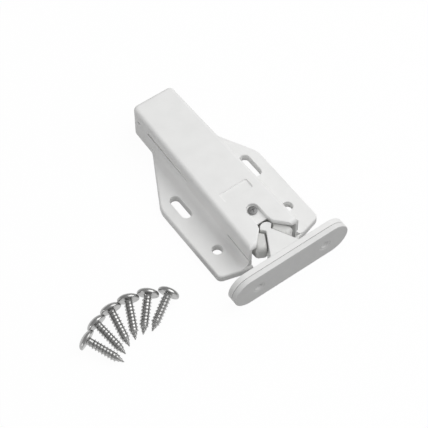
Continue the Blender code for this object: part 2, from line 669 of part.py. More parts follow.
# The outer face passes the edge of the mouth with a gap when the jaw is out and open
to_open = Matrix.Rotation(JAW_OPEN, 2)
open_tip = to_open @ (Vector((flank_x(tip_y), tip_y)) - jaw_pivot)
edge = Vector((flare_half - RUN_GAP, FRONT_Y + STROKE)) - jaw_pivot
reach = (open_tip.y + JAW_TIP_SLANT) / edge.y
ring_side = Vector((JAW_RING_RADIUS, 0))
open_corner = ring_side + (edge - ring_side) * reach
jaw_outline.append(tuple(to_open.inverted() @ open_corner + jaw_pivot))
jaw_radii = [0] * (len(jaw_outline) - 2) + [JAW_TIP_ROUND, JAW_TIP_ROUND]
jaw_outline = rounded(jaw_outline, jaw_radii, 3)
pocket_floor = JAW_TOP - JAW_POCKET_DEPTH
jaw_coil_radius = PIN_RADIUS + RUN_GAP + JAW_SPRING_WIRE
pocket_radius = jaw_coil_radius + JAW_SPRING_WIRE + RUN_GAP
pin_top = JAW_TOP - RUN_GAP
for side, word in ((-1, "left"), (1, "right")):
    home = (side * JAW_PIVOT_X, JAW_PIVOT_Y, JAW_BOTTOM)
    outline = [(side * x, y) for x, y in jaw_outline]
    jaw = prism("jaw_" + word, outline, JAW_BOTTOM, JAW_TOP, origin=home, group=parts)
    round_edges(jaw, JAW_TOP_ROUND, 2, lambda co: co.z > (JAW_TOP - JAW_BOTTOM) / 2)
    combine(jaw, rod("jaw_bore_" + word, PIN_BORE, JAW_BOTTOM - CUT_PAST, JAW_TOP + CUT_PAST, home[:2],
                     sides=20))
    combine(jaw, rod("jaw_pocket_" + word, pocket_radius, pocket_floor, JAW_TOP + CUT_PAST, home[:2]))
    finish(jaw, jaw_white)
    carry(jaw, slider)
    pin = rod("jaw_pin_" + word, PIN_RADIUS, PIN_BOTTOM, pin_top, home[:2], sides=20, origin=home,
              group=parts)
    finish(pin, pin_steel)
    carry(pin, slider)

    # The small spring stands in the jaw's pocket, round the pin
    per_turn = 10
    count = int(per_turn * JAW_SPRING_TURNS)
    start_z = pocket_floor + JAW_SPRING_WIRE + RUN_GAP / 2
    points = []
    for i in range(count + 1):
        turn = side * 2 * pi * i / per_turn
        points.append((home[0] + jaw_coil_radius * cos(turn), home[1] + jaw_coil_radius * sin(turn),
                       start_z + JAW_SPRING_PITCH * i / per_turn))
    print("jaw spring", word, "least gap to itself, mm:",
          round(least_self_gap(points, JAW_SPRING_WIRE, per_turn) * 1000, 3))
    spring = place("jaw_spring_" + word, coil("jaw_spring", points, JAW_SPRING_WIRE), home, parts)
    finish(spring, spring_steel)
    carry(spring, slider)

# Pivot screw, from the recess down to the collar
shank_bottom = COLLAR_BOTTOM - RUN_GAP
head_bottom = RECESS_Z + RUN_GAP
pivot_home = (0, PIVOT_Y, COLLAR_BOTTOM)
head_top = head_bottom + PIVOT_HEAD_HEIGHT
pivot_screw = rod("pivot_screw", PIVOT_HEAD_RADIUS, head_bottom, head_top, (0, PIVOT_Y), sides=28,
                  origin=pivot_home, group=parts)
shank = rod("pivot_shank", PIVOT_SHANK_RADIUS, shank_bottom, (head_bottom + head_top) / 2, (0, PIVOT_Y),
            sides=20)
combine(pivot_screw, shank, "UNION")
for name, reach_x, reach_y in (("cross_a", PIVOT_CROSS_LENGTH / 2, PIVOT_CROSS_WIDTH / 2),
                               ("cross_b", PIVOT_CROSS_WIDTH / 2, PIVOT_CROSS_LENGTH / 2)):
    cross = box(name, (-reach_x, reach_x), (PIVOT_Y - reach_y, PIVOT_Y + reach_y),
                (head_top - PIVOT_CROSS_DEPTH, head_top + CUT_PAST))
    combine(pivot_screw, cross)
finish(pivot_screw, dark_steel)

# Collar that keeps the follower on the screw
collar = rod("pivot_collar", FOLLOWER_RING_RADIUS, COLLAR_BOTTOM, COLLAR_TOP, (0, PIVOT_Y), origin=pivot_home,
             group=parts)
combine(collar, rod("collar_bore", PIVOT_SHANK_RADIUS + RUN_GAP, COLLAR_BOTTOM - CUT_PAST,
                    COLLAR_TOP + CUT_PAST, (0, PIVOT_Y), sides=20))
finish(collar, white_inner)

# Cam follower: a flat lever with a ring at the screw and a pin in the cam track
lever_turn = atan2(FOLLOWER_RING_RADIUS - FOLLOWER_TIP_HALF, FOLLOWER_LENGTH)
outline = arc(0, PIVOT_Y, FOLLOWER_RING_RADIUS, pi - lever_turn, 2 * pi + lever_turn, 12)
outline += arc(0, FOLLOWER_PIN_Y, FOLLOWER_TIP_HALF, lever_turn, pi - lever_turn, 8)
follower_home = (0, PIVOT_Y, FOLLOWER_BOTTOM)
follower = prism("cam_follower", outline, FOLLOWER_BOTTOM, FOLLOWER_TOP, origin=follower_home, group=parts)
combine(follower, rod("follower_bore", PIVOT_SHANK_RADIUS + RUN_GAP, FOLLOWER_BOTTOM - CUT_PAST,
                      FOLLOWER_TOP + CUT_PAST, (0, PIVOT_Y), sides=20))
follower_pin = rod("follower_pin", FOLLOWER_PIN_RADIUS, TRACK_FLOOR + RUN_GAP,
                   (FOLLOWER_BOTTOM + FOLLOWER_TOP) / 2, (0, FOLLOWER_PIN_Y), sides=16)
combine(follower, follower_pin, "UNION")
finish(follower, spring_steel)

# Spring guide: a flange at the back wall and a rod into the slider's bore
flange_front_y = COVER_BACK_Y - GUIDE_FLANGE_THICKNESS
guide_front_y = BORE_FRONT_Y + GUIDE_ROD_SPARE
guide = rod("spring_guide", GUIDE_FLANGE_RADIUS, flange_front_y, COVER_BACK_Y, (0, PUSH_AXIS_Z), "Y",
            group=parts)
guide_rod = rod("guide_rod", GUIDE_ROD_RADIUS, guide_front_y, COVER_BACK_Y - GUIDE_FLANGE_THICKNESS / 2,
                (0, PUSH_AXIS_Z), "Y", sides=16)
combine(guide, guide_rod, "UNION")
finish(guide, white_inner)

# Push spring, from the end of the slider's bore to the flange
per_turn = 9
count = per_turn * PUSH_SPRING_TURNS
spring_front = BORE_FRONT_Y + RUN_GAP + PUSH_SPRING_WIRE
spring_back = flange_front_y - RUN_GAP - PUSH_SPRING_WIRE
points = []
for i in range(count + 1):
    turn = 2 * pi * i / per_turn
    points.append((PUSH_SPRING_RADIUS * cos(turn), spring_front + (spring_back - spring_front) * i / count,
                   PUSH_AXIS_Z + PUSH_SPRING_RADIUS * sin(turn)))
print("push spring least gap to itself, mm:",
      round(least_self_gap(points, PUSH_SPRING_WIRE, per_turn) * 1000, 3))
push_spring = place("push_spring", coil("push_spring", points, PUSH_SPRING_WIRE),
                    (0, spring_back, PUSH_AXIS_Z), parts)
finish(push_spring, spring_steel)

# Striker: knob, neck and web in one outline
PLATE_BACK_Y = KNOB_Y - PLATE_BACK_AHEAD
PLATE_SEAM_Y = PLATE_BACK_Y - PLATE_THICKNESS
PAD_BACK_Y = PLATE_SEAM_Y - RUN_GAP
PAD_FRONT_Y = PAD_BACK_Y - PAD_THICKNESS
shoulder_drop = (NECK_HALF + NECK_AHEAD) / sqrt(2)
shoulder_turn = acos(shoulder_drop / KNOB_RADIUS) - pi / 4
outline = arc(0, KNOB_Y, KNOB_RADIUS, shoulder_turn, pi - shoulder_turn, 18)
web_half = NECK_HALF + flank * (NECK_Y - PLATE_BACK_Y) + WEB_FILLET
foot_y = PLATE_BACK_Y + WEB_FILLET
foot_x = NECK_HALF + flank * (NECK_Y - foot_y)
inside_y = PLATE_BACK_Y - PLATE_THICKNESS / 2
outline += [(-NECK_HALF, NECK_Y), (-foot_x, foot_y), (-web_half, PLATE_BACK_Y), (-web_half, inside_y),
            (web_half, inside_y), (web_half, PLATE_BACK_Y), (foot_x, foot_y), (NECK_HALF, NECK_Y)]
striker_home = (0, KNOB_Y, STRIKER_BOTTOM)
striker = prism("striker", outline, STRIKER_BOTTOM, WEB_TOP, origin=striker_home, group=parts)

# The oval plate, drawn as seen from the front
plate_mid_z = PLATE_BOTTOM + PLATE_HEIGHT / 2
right_end = arc(PLATE_HALF - PLATE_HEIGHT / 2, plate_mid_z, PLATE_HEIGHT / 2, -pi / 2, pi / 2, 14)
oval = right_end + [(-x, z) for x, z in reversed(right_end)]
plate = prism("oval_plate", oval, PLATE_SEAM_Y, PLATE_BACK_Y, axis="Y")
round_edges(plate, PLATE_EDGE_ROUND, 2, lambda co: co.y > (PLATE_SEAM_Y + PLATE_BACK_Y) / 2)
combine(striker, plate, "UNION")
for side in (-1, 1):
    through = rod("plate_bore", PLATE_SCREW_BORE / 2, PLATE_SEAM_Y - CUT_PAST, PLATE_BACK_Y + CUT_PAST,
                  (side * PLATE_SCREW_X, plate_mid_z), "Y", sides=20)
    combine(striker, through)
finish(striker, striker_white)
carry(striker, slider)

# Pad: the front layer of the oval plate, with two shallow dimples
pad_home = (0, PAD_BACK_Y, plate_mid_z)
pad = prism("striker_pad", oval, PAD_FRONT_Y, PAD_BACK_Y, axis="Y", origin=pad_home, group=parts)
round_edges(pad, PLATE_EDGE_ROUND, 2, lambda co: co.y < -PAD_THICKNESS / 2)
for side in (-1, 1):
    dimple = rod("dimple", DIMPLE_DIAMETER / 2, PAD_FRONT_Y - CUT_PAST, PAD_FRONT_Y + DIMPLE_DEPTH,
                 (side * PLATE_SCREW_X, plate_mid_z), "Y", sides=24)
    combine(pad, dimple)
finish(pad, pad_white)
carry(pad, striker)

# Mounting screws: a turned profile, point at the piece's origin, head up
profile = [(0, SCREW_LENGTH + SCREW_HEAD_HEIGHT)]
dome = SCREW_HEAD_HEIGHT - SCREW_RIM
for i in range(1, 6):
    turn = pi / 2 * i / 5
    profile.append((SCREW_HEAD_RADIUS * sin(turn), SCREW_LENGTH + SCREW_RIM + dome * cos(turn)))
profile += [(SCREW_HEAD_RADIUS, SCREW_LENGTH), (SCREW_SHANK_RADIUS, SCREW_LENGTH),
            (SCREW_SHANK_RADIUS, SCREW_POINT_LENGTH), (0, 0)]
lie = atan2(SCREW_HEAD_RADIUS - SCREW_SHANK_RADIUS, SCREW_LENGTH - SCREW_POINT_LENGTH)
point_z = SCREW_SHANK_RADIUS * cos(lie) - SCREW_POINT_LENGTH * sin(lie) + FLOOR_GAP
head_reach = (SCREW_LENGTH + SCREW_HEAD_HEIGHT / 2) * cos(lie)
screw_top = SCREW_LENGTH + SCREW_HEAD_HEIGHT
for i in range(SCREW_COUNT):
    mesh = bpy.data.meshes.new("screw_profile")
    mesh.from_pydata([(x, 0, z) for x, z in profile], [(k, k + 1) for k in range(len(profile) - 1)], [])
    screw = place("mounting_screw_%d" % (i + 1), mesh, (0, 0, 0), parts)
    turned = screw.modifiers.new("turned", "SCREW")
    turned.steps = 20
    turned.render_steps = 20
    turned.use_merge_vertices = True
    turned.merge_threshold = 0.00001
    for k, name in enumerate(("screw_cross_a", "screw_cross_b")):
        reach = (SCREW_CROSS_LENGTH / 2, SCREW_CROSS_WIDTH / 2)
        reach_x, reach_y = reach if k == 0 else reversed(reach)
        cross = box(name, (-reach_x, reach_x), (-reach_y, reach_y),
                    (screw_top - SCREW_CROSS_DEPTH, screw_top + CUT_PAST))
        cross.parent = screw
        combine(screw, cross)
    around = FAN_START_ANGLE - FAN_STEP_ANGLE * i
    heading = FAN_TURN_START_ANGLE - FAN_TURN_STEP_ANGLE * i
    head_x = FAN_CENTRE_X + FAN_RADIUS * cos(around)
    head_y = FAN_CENTRE_Y + FAN_RADIUS * sin(around)
    screw.location = (head_x - head_reach * cos(heading), head_y - head_reach * sin(heading), point_z)
    pointing = Vector((cos(heading) * cos(lie), sin(heading) * cos(lie), sin(lie)))
    screw.rotation_euler = pointing.to_track_quat("Z", "Y").to_euler()
    finish(screw, screw_steel)

print("jaw pivots at", round(JAW_PIVOT_X, 5), round(JAW_PIVOT_Y, 5))
print("jaws open by", round(JAW_OPEN * 180 / pi, 3), "degrees")
print("pad front at", round(PAD_FRONT_Y, 5), "middle of the plate at", round(plate_mid_z, 5))
print("jaw turn per metre of stroke", round(JAW_OPEN / STROKE, 3))
print("follower at", round(PIVOT_Y, 5), "turn per metre of stroke", round(FOLLOWER_SWING_ANGLE / STROKE, 3))
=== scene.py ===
# %% [markdown]
# # A touch latch, dressed for its photograph
# A touch latch holds a cabinet door without a handle: push the door and a spring throws it open.
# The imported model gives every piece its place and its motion. This lesson puts finer shapes on the
# pieces that show and on the springs, real finishes on all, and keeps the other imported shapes.

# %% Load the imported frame
import bmesh
import bpy
from math import acos, atan2, cos, hypot, pi, radians, sin, sqrt, tan
from mathutils import Matrix, Vector


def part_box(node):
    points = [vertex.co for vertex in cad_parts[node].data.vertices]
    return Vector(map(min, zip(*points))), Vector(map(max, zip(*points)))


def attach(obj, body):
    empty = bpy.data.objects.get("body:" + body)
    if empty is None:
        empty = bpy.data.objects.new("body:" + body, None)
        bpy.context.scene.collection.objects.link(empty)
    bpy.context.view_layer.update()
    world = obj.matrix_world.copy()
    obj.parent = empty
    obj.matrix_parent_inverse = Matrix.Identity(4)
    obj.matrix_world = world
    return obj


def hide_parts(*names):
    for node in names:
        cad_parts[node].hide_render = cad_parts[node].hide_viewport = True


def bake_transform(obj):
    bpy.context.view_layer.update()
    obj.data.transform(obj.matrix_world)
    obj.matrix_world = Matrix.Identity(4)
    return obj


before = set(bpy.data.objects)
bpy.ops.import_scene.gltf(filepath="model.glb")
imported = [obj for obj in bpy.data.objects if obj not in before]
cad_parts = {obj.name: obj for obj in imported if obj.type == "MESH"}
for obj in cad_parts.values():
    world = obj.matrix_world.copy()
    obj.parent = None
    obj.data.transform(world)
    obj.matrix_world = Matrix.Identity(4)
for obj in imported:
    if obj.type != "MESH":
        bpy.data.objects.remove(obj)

scene = bpy.context.scene
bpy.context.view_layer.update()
MM = 0.001

# %% [markdown]
# ## The camera
# The photograph was taken from well above the latch's left front corner, with a long lens. The
# angles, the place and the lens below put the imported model's corners on the photograph's own. A
# camera can be aimed with a constraint, but a matrix from three directions is exact and stays put.

# %% Camera
azimuth, elevation, roll = radians(-36.131), radians(56.497), radians(0.118)
CAMERA_PLACE = Vector((-177.164, -230.616, 436.768)) * MM
FOCAL_MM, SENSOR_MM, NEAR = 119.43, 36, 0.01
towards_camera = Vector((sin(azimuth) * cos(elevation), -cos(azimuth) * cos(elevation),
                         sin(elevation)))
level_right = Vector((cos(azimuth), sin(azimuth), 0))
level_up = towards_camera.cross(level_right)
right = cos(roll) * level_right + sin(roll) * level_up
up = cos(roll) * level_up - sin(roll) * level_right
lens = bpy.data.cameras.new("catalogue_camera")
lens.lens = FOCAL_MM
lens.sensor_width = SENSOR_MM
lens.clip_start = NEAR
camera = bpy.data.objects.new("catalogue_camera", lens)
camera.matrix_world = Matrix((right, up, towards_camera)).transposed().to_4x4()
camera.matrix_world.translation = CAMERA_PLACE
scene.collection.objects.link(camera)
scene.camera = camera
print("camera", round(camera.location.length, 3), "m from the origin of the frame")

# %% [markdown]
# ## Helpers for every material
# A colour is written as the hex value that a screen would show. Blender mixes light in linear
# numbers, so one function converts it. Another adds one node, with its settings and its links, so
# that a material reads as a list of the nodes it is made of.

# %% Colour and node helpers
def linear(code):
    """Linear colour, with full alpha, from an sRGB hex value."""
    made = []
    for k in (0, 2, 4):
        part = int(code[k:k + 2], 16) / 255
        made.append(part / 12.92 if part <= 0.04045 else ((part + 0.055) / 1.055) ** 2.4)
    return (*made, 1.0)


def fill(tree, node, inputs):
    """Set some inputs of a node, or link them to the outputs given."""
    for key, value in inputs.items():
        if isinstance(value, bpy.types.NodeSocket):
            tree.links.new(value, node.inputs[key])
        else:
            node.inputs[key].default_value = value


def add(tree, kind, inputs=None, **settings):
    """Add a node, set its properties, then fill its inputs."""
    node = tree.nodes.new(kind)
    for key, value in settings.items():
        setattr(node, key, value)
    fill(tree, node, inputs or {})
    return node


print("pale plastic", [round(x, 3) for x in linear("EFEFEE")])

# %% [markdown]
# ## Floor and light
# The photograph is a catalogue picture: a white ground, no shadow to speak of, and one broad light
# from above and to the right, which leaves the left wall and the front plate in half shade. A bright
# floor would light those from below, so the floor is white only to the camera and to reflections. To
# all other light it is a dark grey sheet. A small share of it stays an ordinary surface, so the latch
# keeps a faint shadow and does not float.

# %% Floor
GLOW, FLOOR_REACH, FLOOR_DROP = 0.96, 6.0, 0.0001
MATHS = "ShaderNodeMath"
paper = bpy.data.materials.new("white_background_paper")
paper.use_nodes = True
tree = paper.node_tree
tree.nodes.clear()
path = add(tree, "ShaderNodeLightPath")
seen = add(tree, MATHS, {0: path.outputs["Is Camera Ray"], 1: path.outputs["Is Glossy Ray"]},
           operation="MAXIMUM")
seen = add(tree, MATHS, {0: seen.outputs[0], 1: path.outputs["Is Transmission Ray"]},
           operation="MAXIMUM")
sheet = add(tree, "ShaderNodeBsdfDiffuse", {"Color": linear("616161")})
pale = add(tree, "ShaderNodeBsdfDiffuse", {"Color": linear("FFFFFF")})
white = add(tree, "ShaderNodeEmission", {"Color": linear("FFFFFF"), "Strength": 1.0})
shown = add(tree, "ShaderNodeMixShader", {0: GLOW, 1: pale.outputs[0], 2: white.outputs[0]})
mixed = add(tree, "ShaderNodeMixShader", {0: seen.outputs[0], 1: sheet.outputs[0],
                                          2: shown.outputs[0]})
add(tree, "ShaderNodeOutputMaterial", {"Surface": mixed.outputs[0]})

corners = ((-1, -1), (1, -1), (1, 1), (-1, 1))
mesh = bpy.data.meshes.new("floor")
mesh.from_pydata([(x * FLOOR_REACH, y * FLOOR_REACH, -FLOOR_DROP) for x, y in corners],
                 [], [(0, 1, 2, 3)])
mesh.materials.append(paper)
floor = bpy.data.objects.new("floor", mesh)
scene.collection.objects.link(floor)
print("floor", 2 * FLOOR_REACH, "m across")

# %% World and lamps
ROOM_LIGHT = 0.45
world = bpy.data.worlds.new("studio")
scene.world = world
world.use_nodes = True
tree = world.node_tree
tree.nodes.clear()
path = add(tree, "ShaderNodeLightPath")
room = add(tree, "ShaderNodeBackground", {"Color": linear("FFFFFF"), "Strength": ROOM_LIGHT})
white = add(tree, "ShaderNodeBackground", {"Color": linear("FFFFFF"), "Strength": 1.0})
mixed = add(tree, "ShaderNodeMixShader", {0: path.outputs["Is Camera Ray"], 1: room.outputs[0],
                                          2: white.outputs[0]})
add(tree, "ShaderNodeOutputWorld", {"Surface": mixed.outputs[0]})
scene.view_settings.view_transform = "Standard"


def lamp(name, place, size, power):
    """A square soft lamp that faces the origin. Sizes are in metres, and the power is in watts."""
    light = bpy.data.lights.new(name, "AREA")
    light.size = size
    light.energy = power
    made = bpy.data.objects.new(name, light)
    made.location = place
    made.rotation_euler = (-Vector(place)).to_track_quat("-Z", "Y").to_euler()
    scene.collection.objects.link(made)


lamp("broad_light", place=(0.50, -0.15, 0.82), size=0.9, power=6.2)
lamp("left_fill", place=(-0.80, -0.05, 0.07), size=0.14, power=0.74)
lamp("front_fill", place=(-0.10, -0.80, 0.07), size=0.14, power=0.12)

# %% [markdown]
# ## White moulded plastics
# The housing and the striker are injection moulded, most likely ABS or nylon, and the jaws a slippery
# acetal. All three are nearly white. The jaws get a greyer tone than their own, and that tone is
# painted
# shade for the light the housing keeps from them inside the mouth. A moulding is never one flat tone:
# slow flow marks shift the tone by a percent or two over several millimetres, and the mould leaves a
# fine satin grain that varies the gloss. The real grain is about 0.05 mm, too fine for this picture,
# so it is drawn 0.5 or 0.6 mm wide and very low.

# %% Plastic materials
def new_material(name):
    """A new material, with its tree, its shader and the Object coordinates for its patterns."""
    made = bpy.data.materials.new(name)
    made.use_nodes = True
    tree = made.node_tree
    where = add(tree, "ShaderNodeTexCoord").outputs["Object"]
    return made, tree, tree.nodes["Principled BSDF"], where


def moulded_plastic(name, light, dark, ior, rough, flow_mm, grain_mm, depth_mm):
    """A moulded plastic: slow tone marks, and a satin grain that also varies the roughness."""
    made, tree, shader, where = new_material(name)
    flow = add(tree, "ShaderNodeTexNoise", {"Vector": where, "Scale": 1 / (flow_mm * MM),
                                            "Detail": 3.0, "Roughness": 0.55})
    grain = add(tree, "ShaderNodeTexNoise", {"Vector": where, "Scale": 1 / (grain_mm * MM),
                                             "Detail": 2.0, "Roughness": 0.5})
    share = add(tree, "ShaderNodeMapRange", {"Value": flow.outputs["Fac"], "From Min": 0.32,
                                             "From Max": 0.68})
    tone = add(tree, "ShaderNodeMix", {"Factor": share.outputs["Result"], "A": linear(light),
                                       "B": linear(dark)}, data_type="RGBA")
    speck = add(tree, "ShaderNodeMapRange", {"Value": grain.outputs["Fac"], "From Min": 0.3,
                                             "From Max": 0.7, "To Min": rough[0], "To Max": rough[1]})
    bump = add(tree, "ShaderNodeBump", {"Height": grain.outputs["Fac"], "Strength": 0.35,
                                        "Distance": depth_mm * MM})
    fill(tree, shader, {"Base Color": tone.outputs["Result"], "Roughness": speck.outputs["Result"],
                        "Normal": bump.outputs["Normal"], "IOR": ior, "Metallic": 0.0})
    return made


housing_abs = moulded_plastic("white_moulded_abs", "F2F2F1", "EEEEED", ior=1.53, rough=(0.38, 0.52),
                              flow_mm=7.0, grain_mm=0.6, depth_mm=0.03)
print("first plastic:", housing_abs.name)

# %% The other plastics
striker_abs = moulded_plastic("white_striker_abs", "F1F1F0", "EDEDEC", ior=1.53, rough=(0.36, 0.50),
                              flow_mm=6.0, grain_mm=0.6, depth_mm=0.03)
pad_abs = moulded_plastic("white_pad_abs", "E9E9E8", "E4E4E3", ior=1.53, rough=(0.42, 0.55),
                          flow_mm=6.0, grain_mm=0.6, depth_mm=0.04)
# The jaws' greyer tone is painted shade: it stands for the shade that falls on them inside the mouth.
jaw_acetal_painted_shade = moulded_plastic("white_acetal", "DADAD8", "D2D2D0", ior=1.48, rough=(0.26, 0.38),
                             flow_mm=4.0, grain_mm=0.5, depth_mm=0.02)
slider_nylon = moulded_plastic("white_slider_nylon", "EBEAE5", "E1E0DA", ior=1.53,
                               rough=(0.34, 0.46), flow_mm=5.0, grain_mm=0.5, depth_mm=0.03)
cover_pp = moulded_plastic("pale_grey_polypropylene", "D2D2D0", "C6C6C4", ior=1.49,
                           rough=(0.40, 0.55), flow_mm=6.0, grain_mm=0.6, depth_mm=0.04)
plastics = (housing_abs, striker_abs, pad_abs, jaw_acetal_painted_shade, slider_nylon, cover_pp)
print("plastics:", [look.name for look in plastics])

# %% [markdown]
# ## Steels
# The loose screws are rolled steel with a bright nickel plating, neutral grey and never perfectly
# even. The springs and pins are drawn or ground steel, with faint marks. The screw in the top of the
# housing has a dark plating. A metal's colour is its reflection, so these differ in tone, in
# roughness, and in how much the roughness wanders. The real marks are too fine to show, so they are
# drawn 0.2 to 0.3 mm wide.

# %% Metal materials
def steel(name, light, dark, rough, patch_mm, mark_mm, depth_mm):
    """A steel: patches in the plating, and fine marks from drawing, rolling or grinding."""
    made, tree, shader, where = new_material(name)
    patch = add(tree, "ShaderNodeTexNoise", {"Vector": where, "Scale": 1 / (patch_mm * MM),
                                             "Detail": 4.0})
    marks = add(tree, "ShaderNodeTexNoise", {"Vector": where, "Scale": 1 / (mark_mm * MM),
                                             "Detail": 2.0})
    tone = add(tree, "ShaderNodeMix", {"Factor": patch.outputs["Fac"], "A": linear(light),
                                       "B": linear(dark)}, data_type="RGBA")
    sheen = add(tree, "ShaderNodeMapRange", {"Value": patch.outputs["Fac"], "From Min": 0.3,
                                             "From Max": 0.7, "To Min": rough[0], "To Max": rough[1]})
    bump = add(tree, "ShaderNodeBump", {"Height": marks.outputs["Fac"], "Strength": 0.3,
                                        "Distance": depth_mm * MM})
    fill(tree, shader, {"Base Color": tone.outputs["Result"], "Roughness": sheen.outputs["Result"],
                        "Normal": bump.outputs["Normal"], "Metallic": 1.0})
    return made


nickel = steel("nickel_plated_steel", "BDBDBC", "9B9B9A", rough=(0.22, 0.36),
               patch_mm=1.6, mark_mm=0.3, depth_mm=0.01)
dark_plate = steel("dark_plated_steel", "969696", "828282", rough=(0.46, 0.60),
                   patch_mm=1.0, mark_mm=0.25, depth_mm=0.01)
spring_wire = steel("drawn_spring_steel", "BDBDBB", "9A9A99", rough=(0.24, 0.38),
                    patch_mm=1.2, mark_mm=0.2, depth_mm=0.008)
ground_steel = steel("ground_steel", "C8C8C8", "AEAEAE", rough=(0.16, 0.28),
                     patch_mm=1.4, mark_mm=0.2, depth_mm=0.006)
print("steels:", [look.name for look in (nickel, dark_plate, spring_wire, ground_steel)])

# %% [markdown]
# ## Drawing a moulding
# Every moulded piece here is a flat outline raised to a height, with its edges rounded by the mould.
# A Bevel modifier can round edges, but it often stumbles where Boolean cuts meet. So each solid is
# lofted instead: the outline is drawn at several heights, set in a little more at each step round the
# edge. A cutter is lofted the other way, set out near the surface, and so leaves a rounded rim.
# Sizes from here on are in millimetres, with the mounting face at height 0 and the mouth towards -Y.

# %% Outline helpers
def arc(centre_x, centre_y, radius, start, end, steps):
    """Points of an arc, both ends included."""
    return [(centre_x + radius * cos(start + (end - start) * i / steps),
             centre_y + radius * sin(start + (end - start) * i / steps)) for i in range(steps + 1)]


def rounded(points, radii, steps=8):
    """An outline with some of its corners rounded to a radius."""
    made = []
    for i, (corner, radius) in enumerate(zip(points, radii)):
        if radius == 0:
            made.append(corner)
            continue
        here = Vector(corner)
        before = (Vector(points[i - 1]) - here).normalized()
        after = (Vector(points[(i + 1) % len(points)]) - here).normalized()
        half = before.angle(after) / 2
        centre = here + (before + after).normalized() * radius / sin(half)
        first = here + before * radius / tan(half) - centre
        turn = first.angle_signed(here + after * radius / tan(half) - centre)
        made += [tuple(centre + Matrix.Rotation(-turn * k / steps, 2) @ first)
                 for k in range(steps + 1)]
    return made


def set_in(outline, distance):
    """An outline moved in by a distance, or out where the distance is negative."""
    area = sum(a[0] * b[1] - b[0] * a[1] for a, b in zip(outline, outline[1:] + outline[:1]))
    turn = 1 if area > 0 else -1
    made = []
    for i, here in enumerate(outline):
        before = (Vector(here) - Vector(outline[i - 1])).normalized()
        after = (Vector(outline[(i + 1) % len(outline)]) - Vector(here)).normalized()
        one = Vector((-before.y, before.x)) * turn
        two = Vector((-after.y, after.x)) * turn
        made.append(tuple(Vector(here) + (one + two) * distance / (1 + one.dot(two))))
    return made


square = [(0, 0), (1, 0), (1, 1), (0, 1)]
print("a square with two round corners has", len(rounded(square, (0.1, 0.1, 0, 0))), "points")

# %% Solid helpers
def piece(name, work):
    """A new object at the origin from a bmesh drawn in millimetres."""
    bmesh.ops.remove_doubles(work, verts=work.verts, dist=1e-4)
    bmesh.ops.recalc_face_normals(work, faces=work.faces)
    bmesh.ops.scale(work, vec=(MM, MM, MM), verts=work.verts)
    mesh = bpy.data.meshes.new(name)
    work.to_mesh(mesh)
    work.free()
    made = bpy.data.objects.new(name, mesh)
    scene.collection.objects.link(made)
    return made


def loft(name, rings):
    """A closed solid through rings of points, flat at both ends."""
    work = bmesh.new()
    rows = [[work.verts.new(p) for p in ring] for ring in rings]
    for low, high in zip(rows, rows[1:]):
        for i in range(len(low)):
            work.faces.new((low[i - 1], low[i], high[i], high[i - 1]))
    work.faces.new(rows[0])
    work.faces.new(rows[-1])
    return piece(name, work)


def solid(name, outline, levels, axis="Z"):
    """An outline lofted through pairs of an inset and a height along an axis."""
    rings = []
    for inset, height in levels:
        flat = set_in(outline, inset)
        if axis == "Z":
            rings.append([(u, v, height) for u, v in flat])
        else:
            rings.append([(u, height, v) for u, v in flat])
    return loft(name, rings)


def moulded(low, high, low_round, high_round, steps=6):
    """Levels of a solid with rounded edges at its two ends."""
    turns = [pi / 2 * k / steps for k in range(steps + 1)]
    made = [(0, low)]
    if low_round:
        made = [(low_round * (1 - sin(t)), low + low_round * (1 - cos(t))) for t in turns]
    return made + [(high_round * (1 - cos(t)), high - high_round + high_round * sin(t)) for t in turns]


print("edge rounds are drawn in", len(moulded(0, 1, 0, 0.2)) - 2, "steps")

# %% [markdown]
# ## Housing: body and wings
# The housing is one moulding: a long box that tapers to the back, and two thin wings that screw to
# the cabinet. The wings are drawn as one plate that runs under the body. A hollow fillet joins each
# wall to its wing and is what makes the shade on the wing fade softly towards the wall.

# %% Housing body
FRONT, BACK, TOP = -24.2, 52.4, 14.7
HALF_FRONT, HALF_BACK = 10.9, 9.0
TOP_ROUND, BACK_ROUND_RIGHT, BACK_ROUND_LEFT = 1.8, 2.0, 2.4
TAPER = (HALF_BACK - HALF_FRONT) / (BACK - FRONT)


def wall(y):
    """Half width of the tapering body at one place along it."""
    return HALF_FRONT + TAPER * (y - FRONT)


plan = rounded([(-HALF_FRONT, FRONT), (HALF_FRONT, FRONT), (HALF_BACK, BACK), (-HALF_BACK, BACK)],
               (0, 0, BACK_ROUND_RIGHT, BACK_ROUND_LEFT))
housing = solid("housing_shell", plan, moulded(0, TOP, 0, TOP_ROUND, 9))
print("body", BACK - FRONT, "mm long,", TOP, "mm high")

# %% Housing wings
WING_HALF, WING_TOP, WING_ROUND = 22.5, 3.2, 0.9
WING_FRONT, WING_BACK = -21.9, 14.7
NOSE_HALF, NOSE_SLOPE, FLARE_SLOPE = 8.6, 0.287, 1.8
FRONT_CORNER, REAR_CORNER, FLARE_CORNER = 2.2, 10.0, 6.0
TAIL_IN, TAIL_SHORT = 1, 1.8
nose = WING_FRONT - NOSE_SLOPE * (WING_HALF - NOSE_HALF)
flare_back = WING_BACK + FLARE_SLOPE * (WING_HALF - HALF_BACK)


def mirrored(half):
    """A whole outline from its right half."""
    return half + [(-x, y) for x, y in reversed(half)]


def wing_plan(inset):
    """Plan of the wings, drawn in from the side and flared edges by an inset."""
    flare_x = wall(flare_back)
    half = [(NOSE_HALF, nose), (WING_HALF - inset, WING_FRONT), (WING_HALF - inset, WING_BACK - inset),
            (flare_x, flare_back - inset * hypot(1, FLARE_SLOPE)),
            (flare_x - TAIL_IN, BACK - TAIL_SHORT)]
    radii = [0, FRONT_CORNER, REAR_CORNER, FLARE_CORNER, 0]
    return rounded(mirrored(half), radii + radii[::-1])


def combine(target, other, operation="DIFFERENCE"):
    """One exact Boolean step, with the other solid kept until the target is settled."""
    step = target.modifiers.new(other.name, "BOOLEAN")
    step.operation = operation
    step.solver = "EXACT"
    step.object = other


combine(housing, solid("wings", wing_plan(0), moulded(0, WING_TOP, 0, WING_ROUND)), "UNION")
print("wings", 2 * WING_HALF, "mm across")

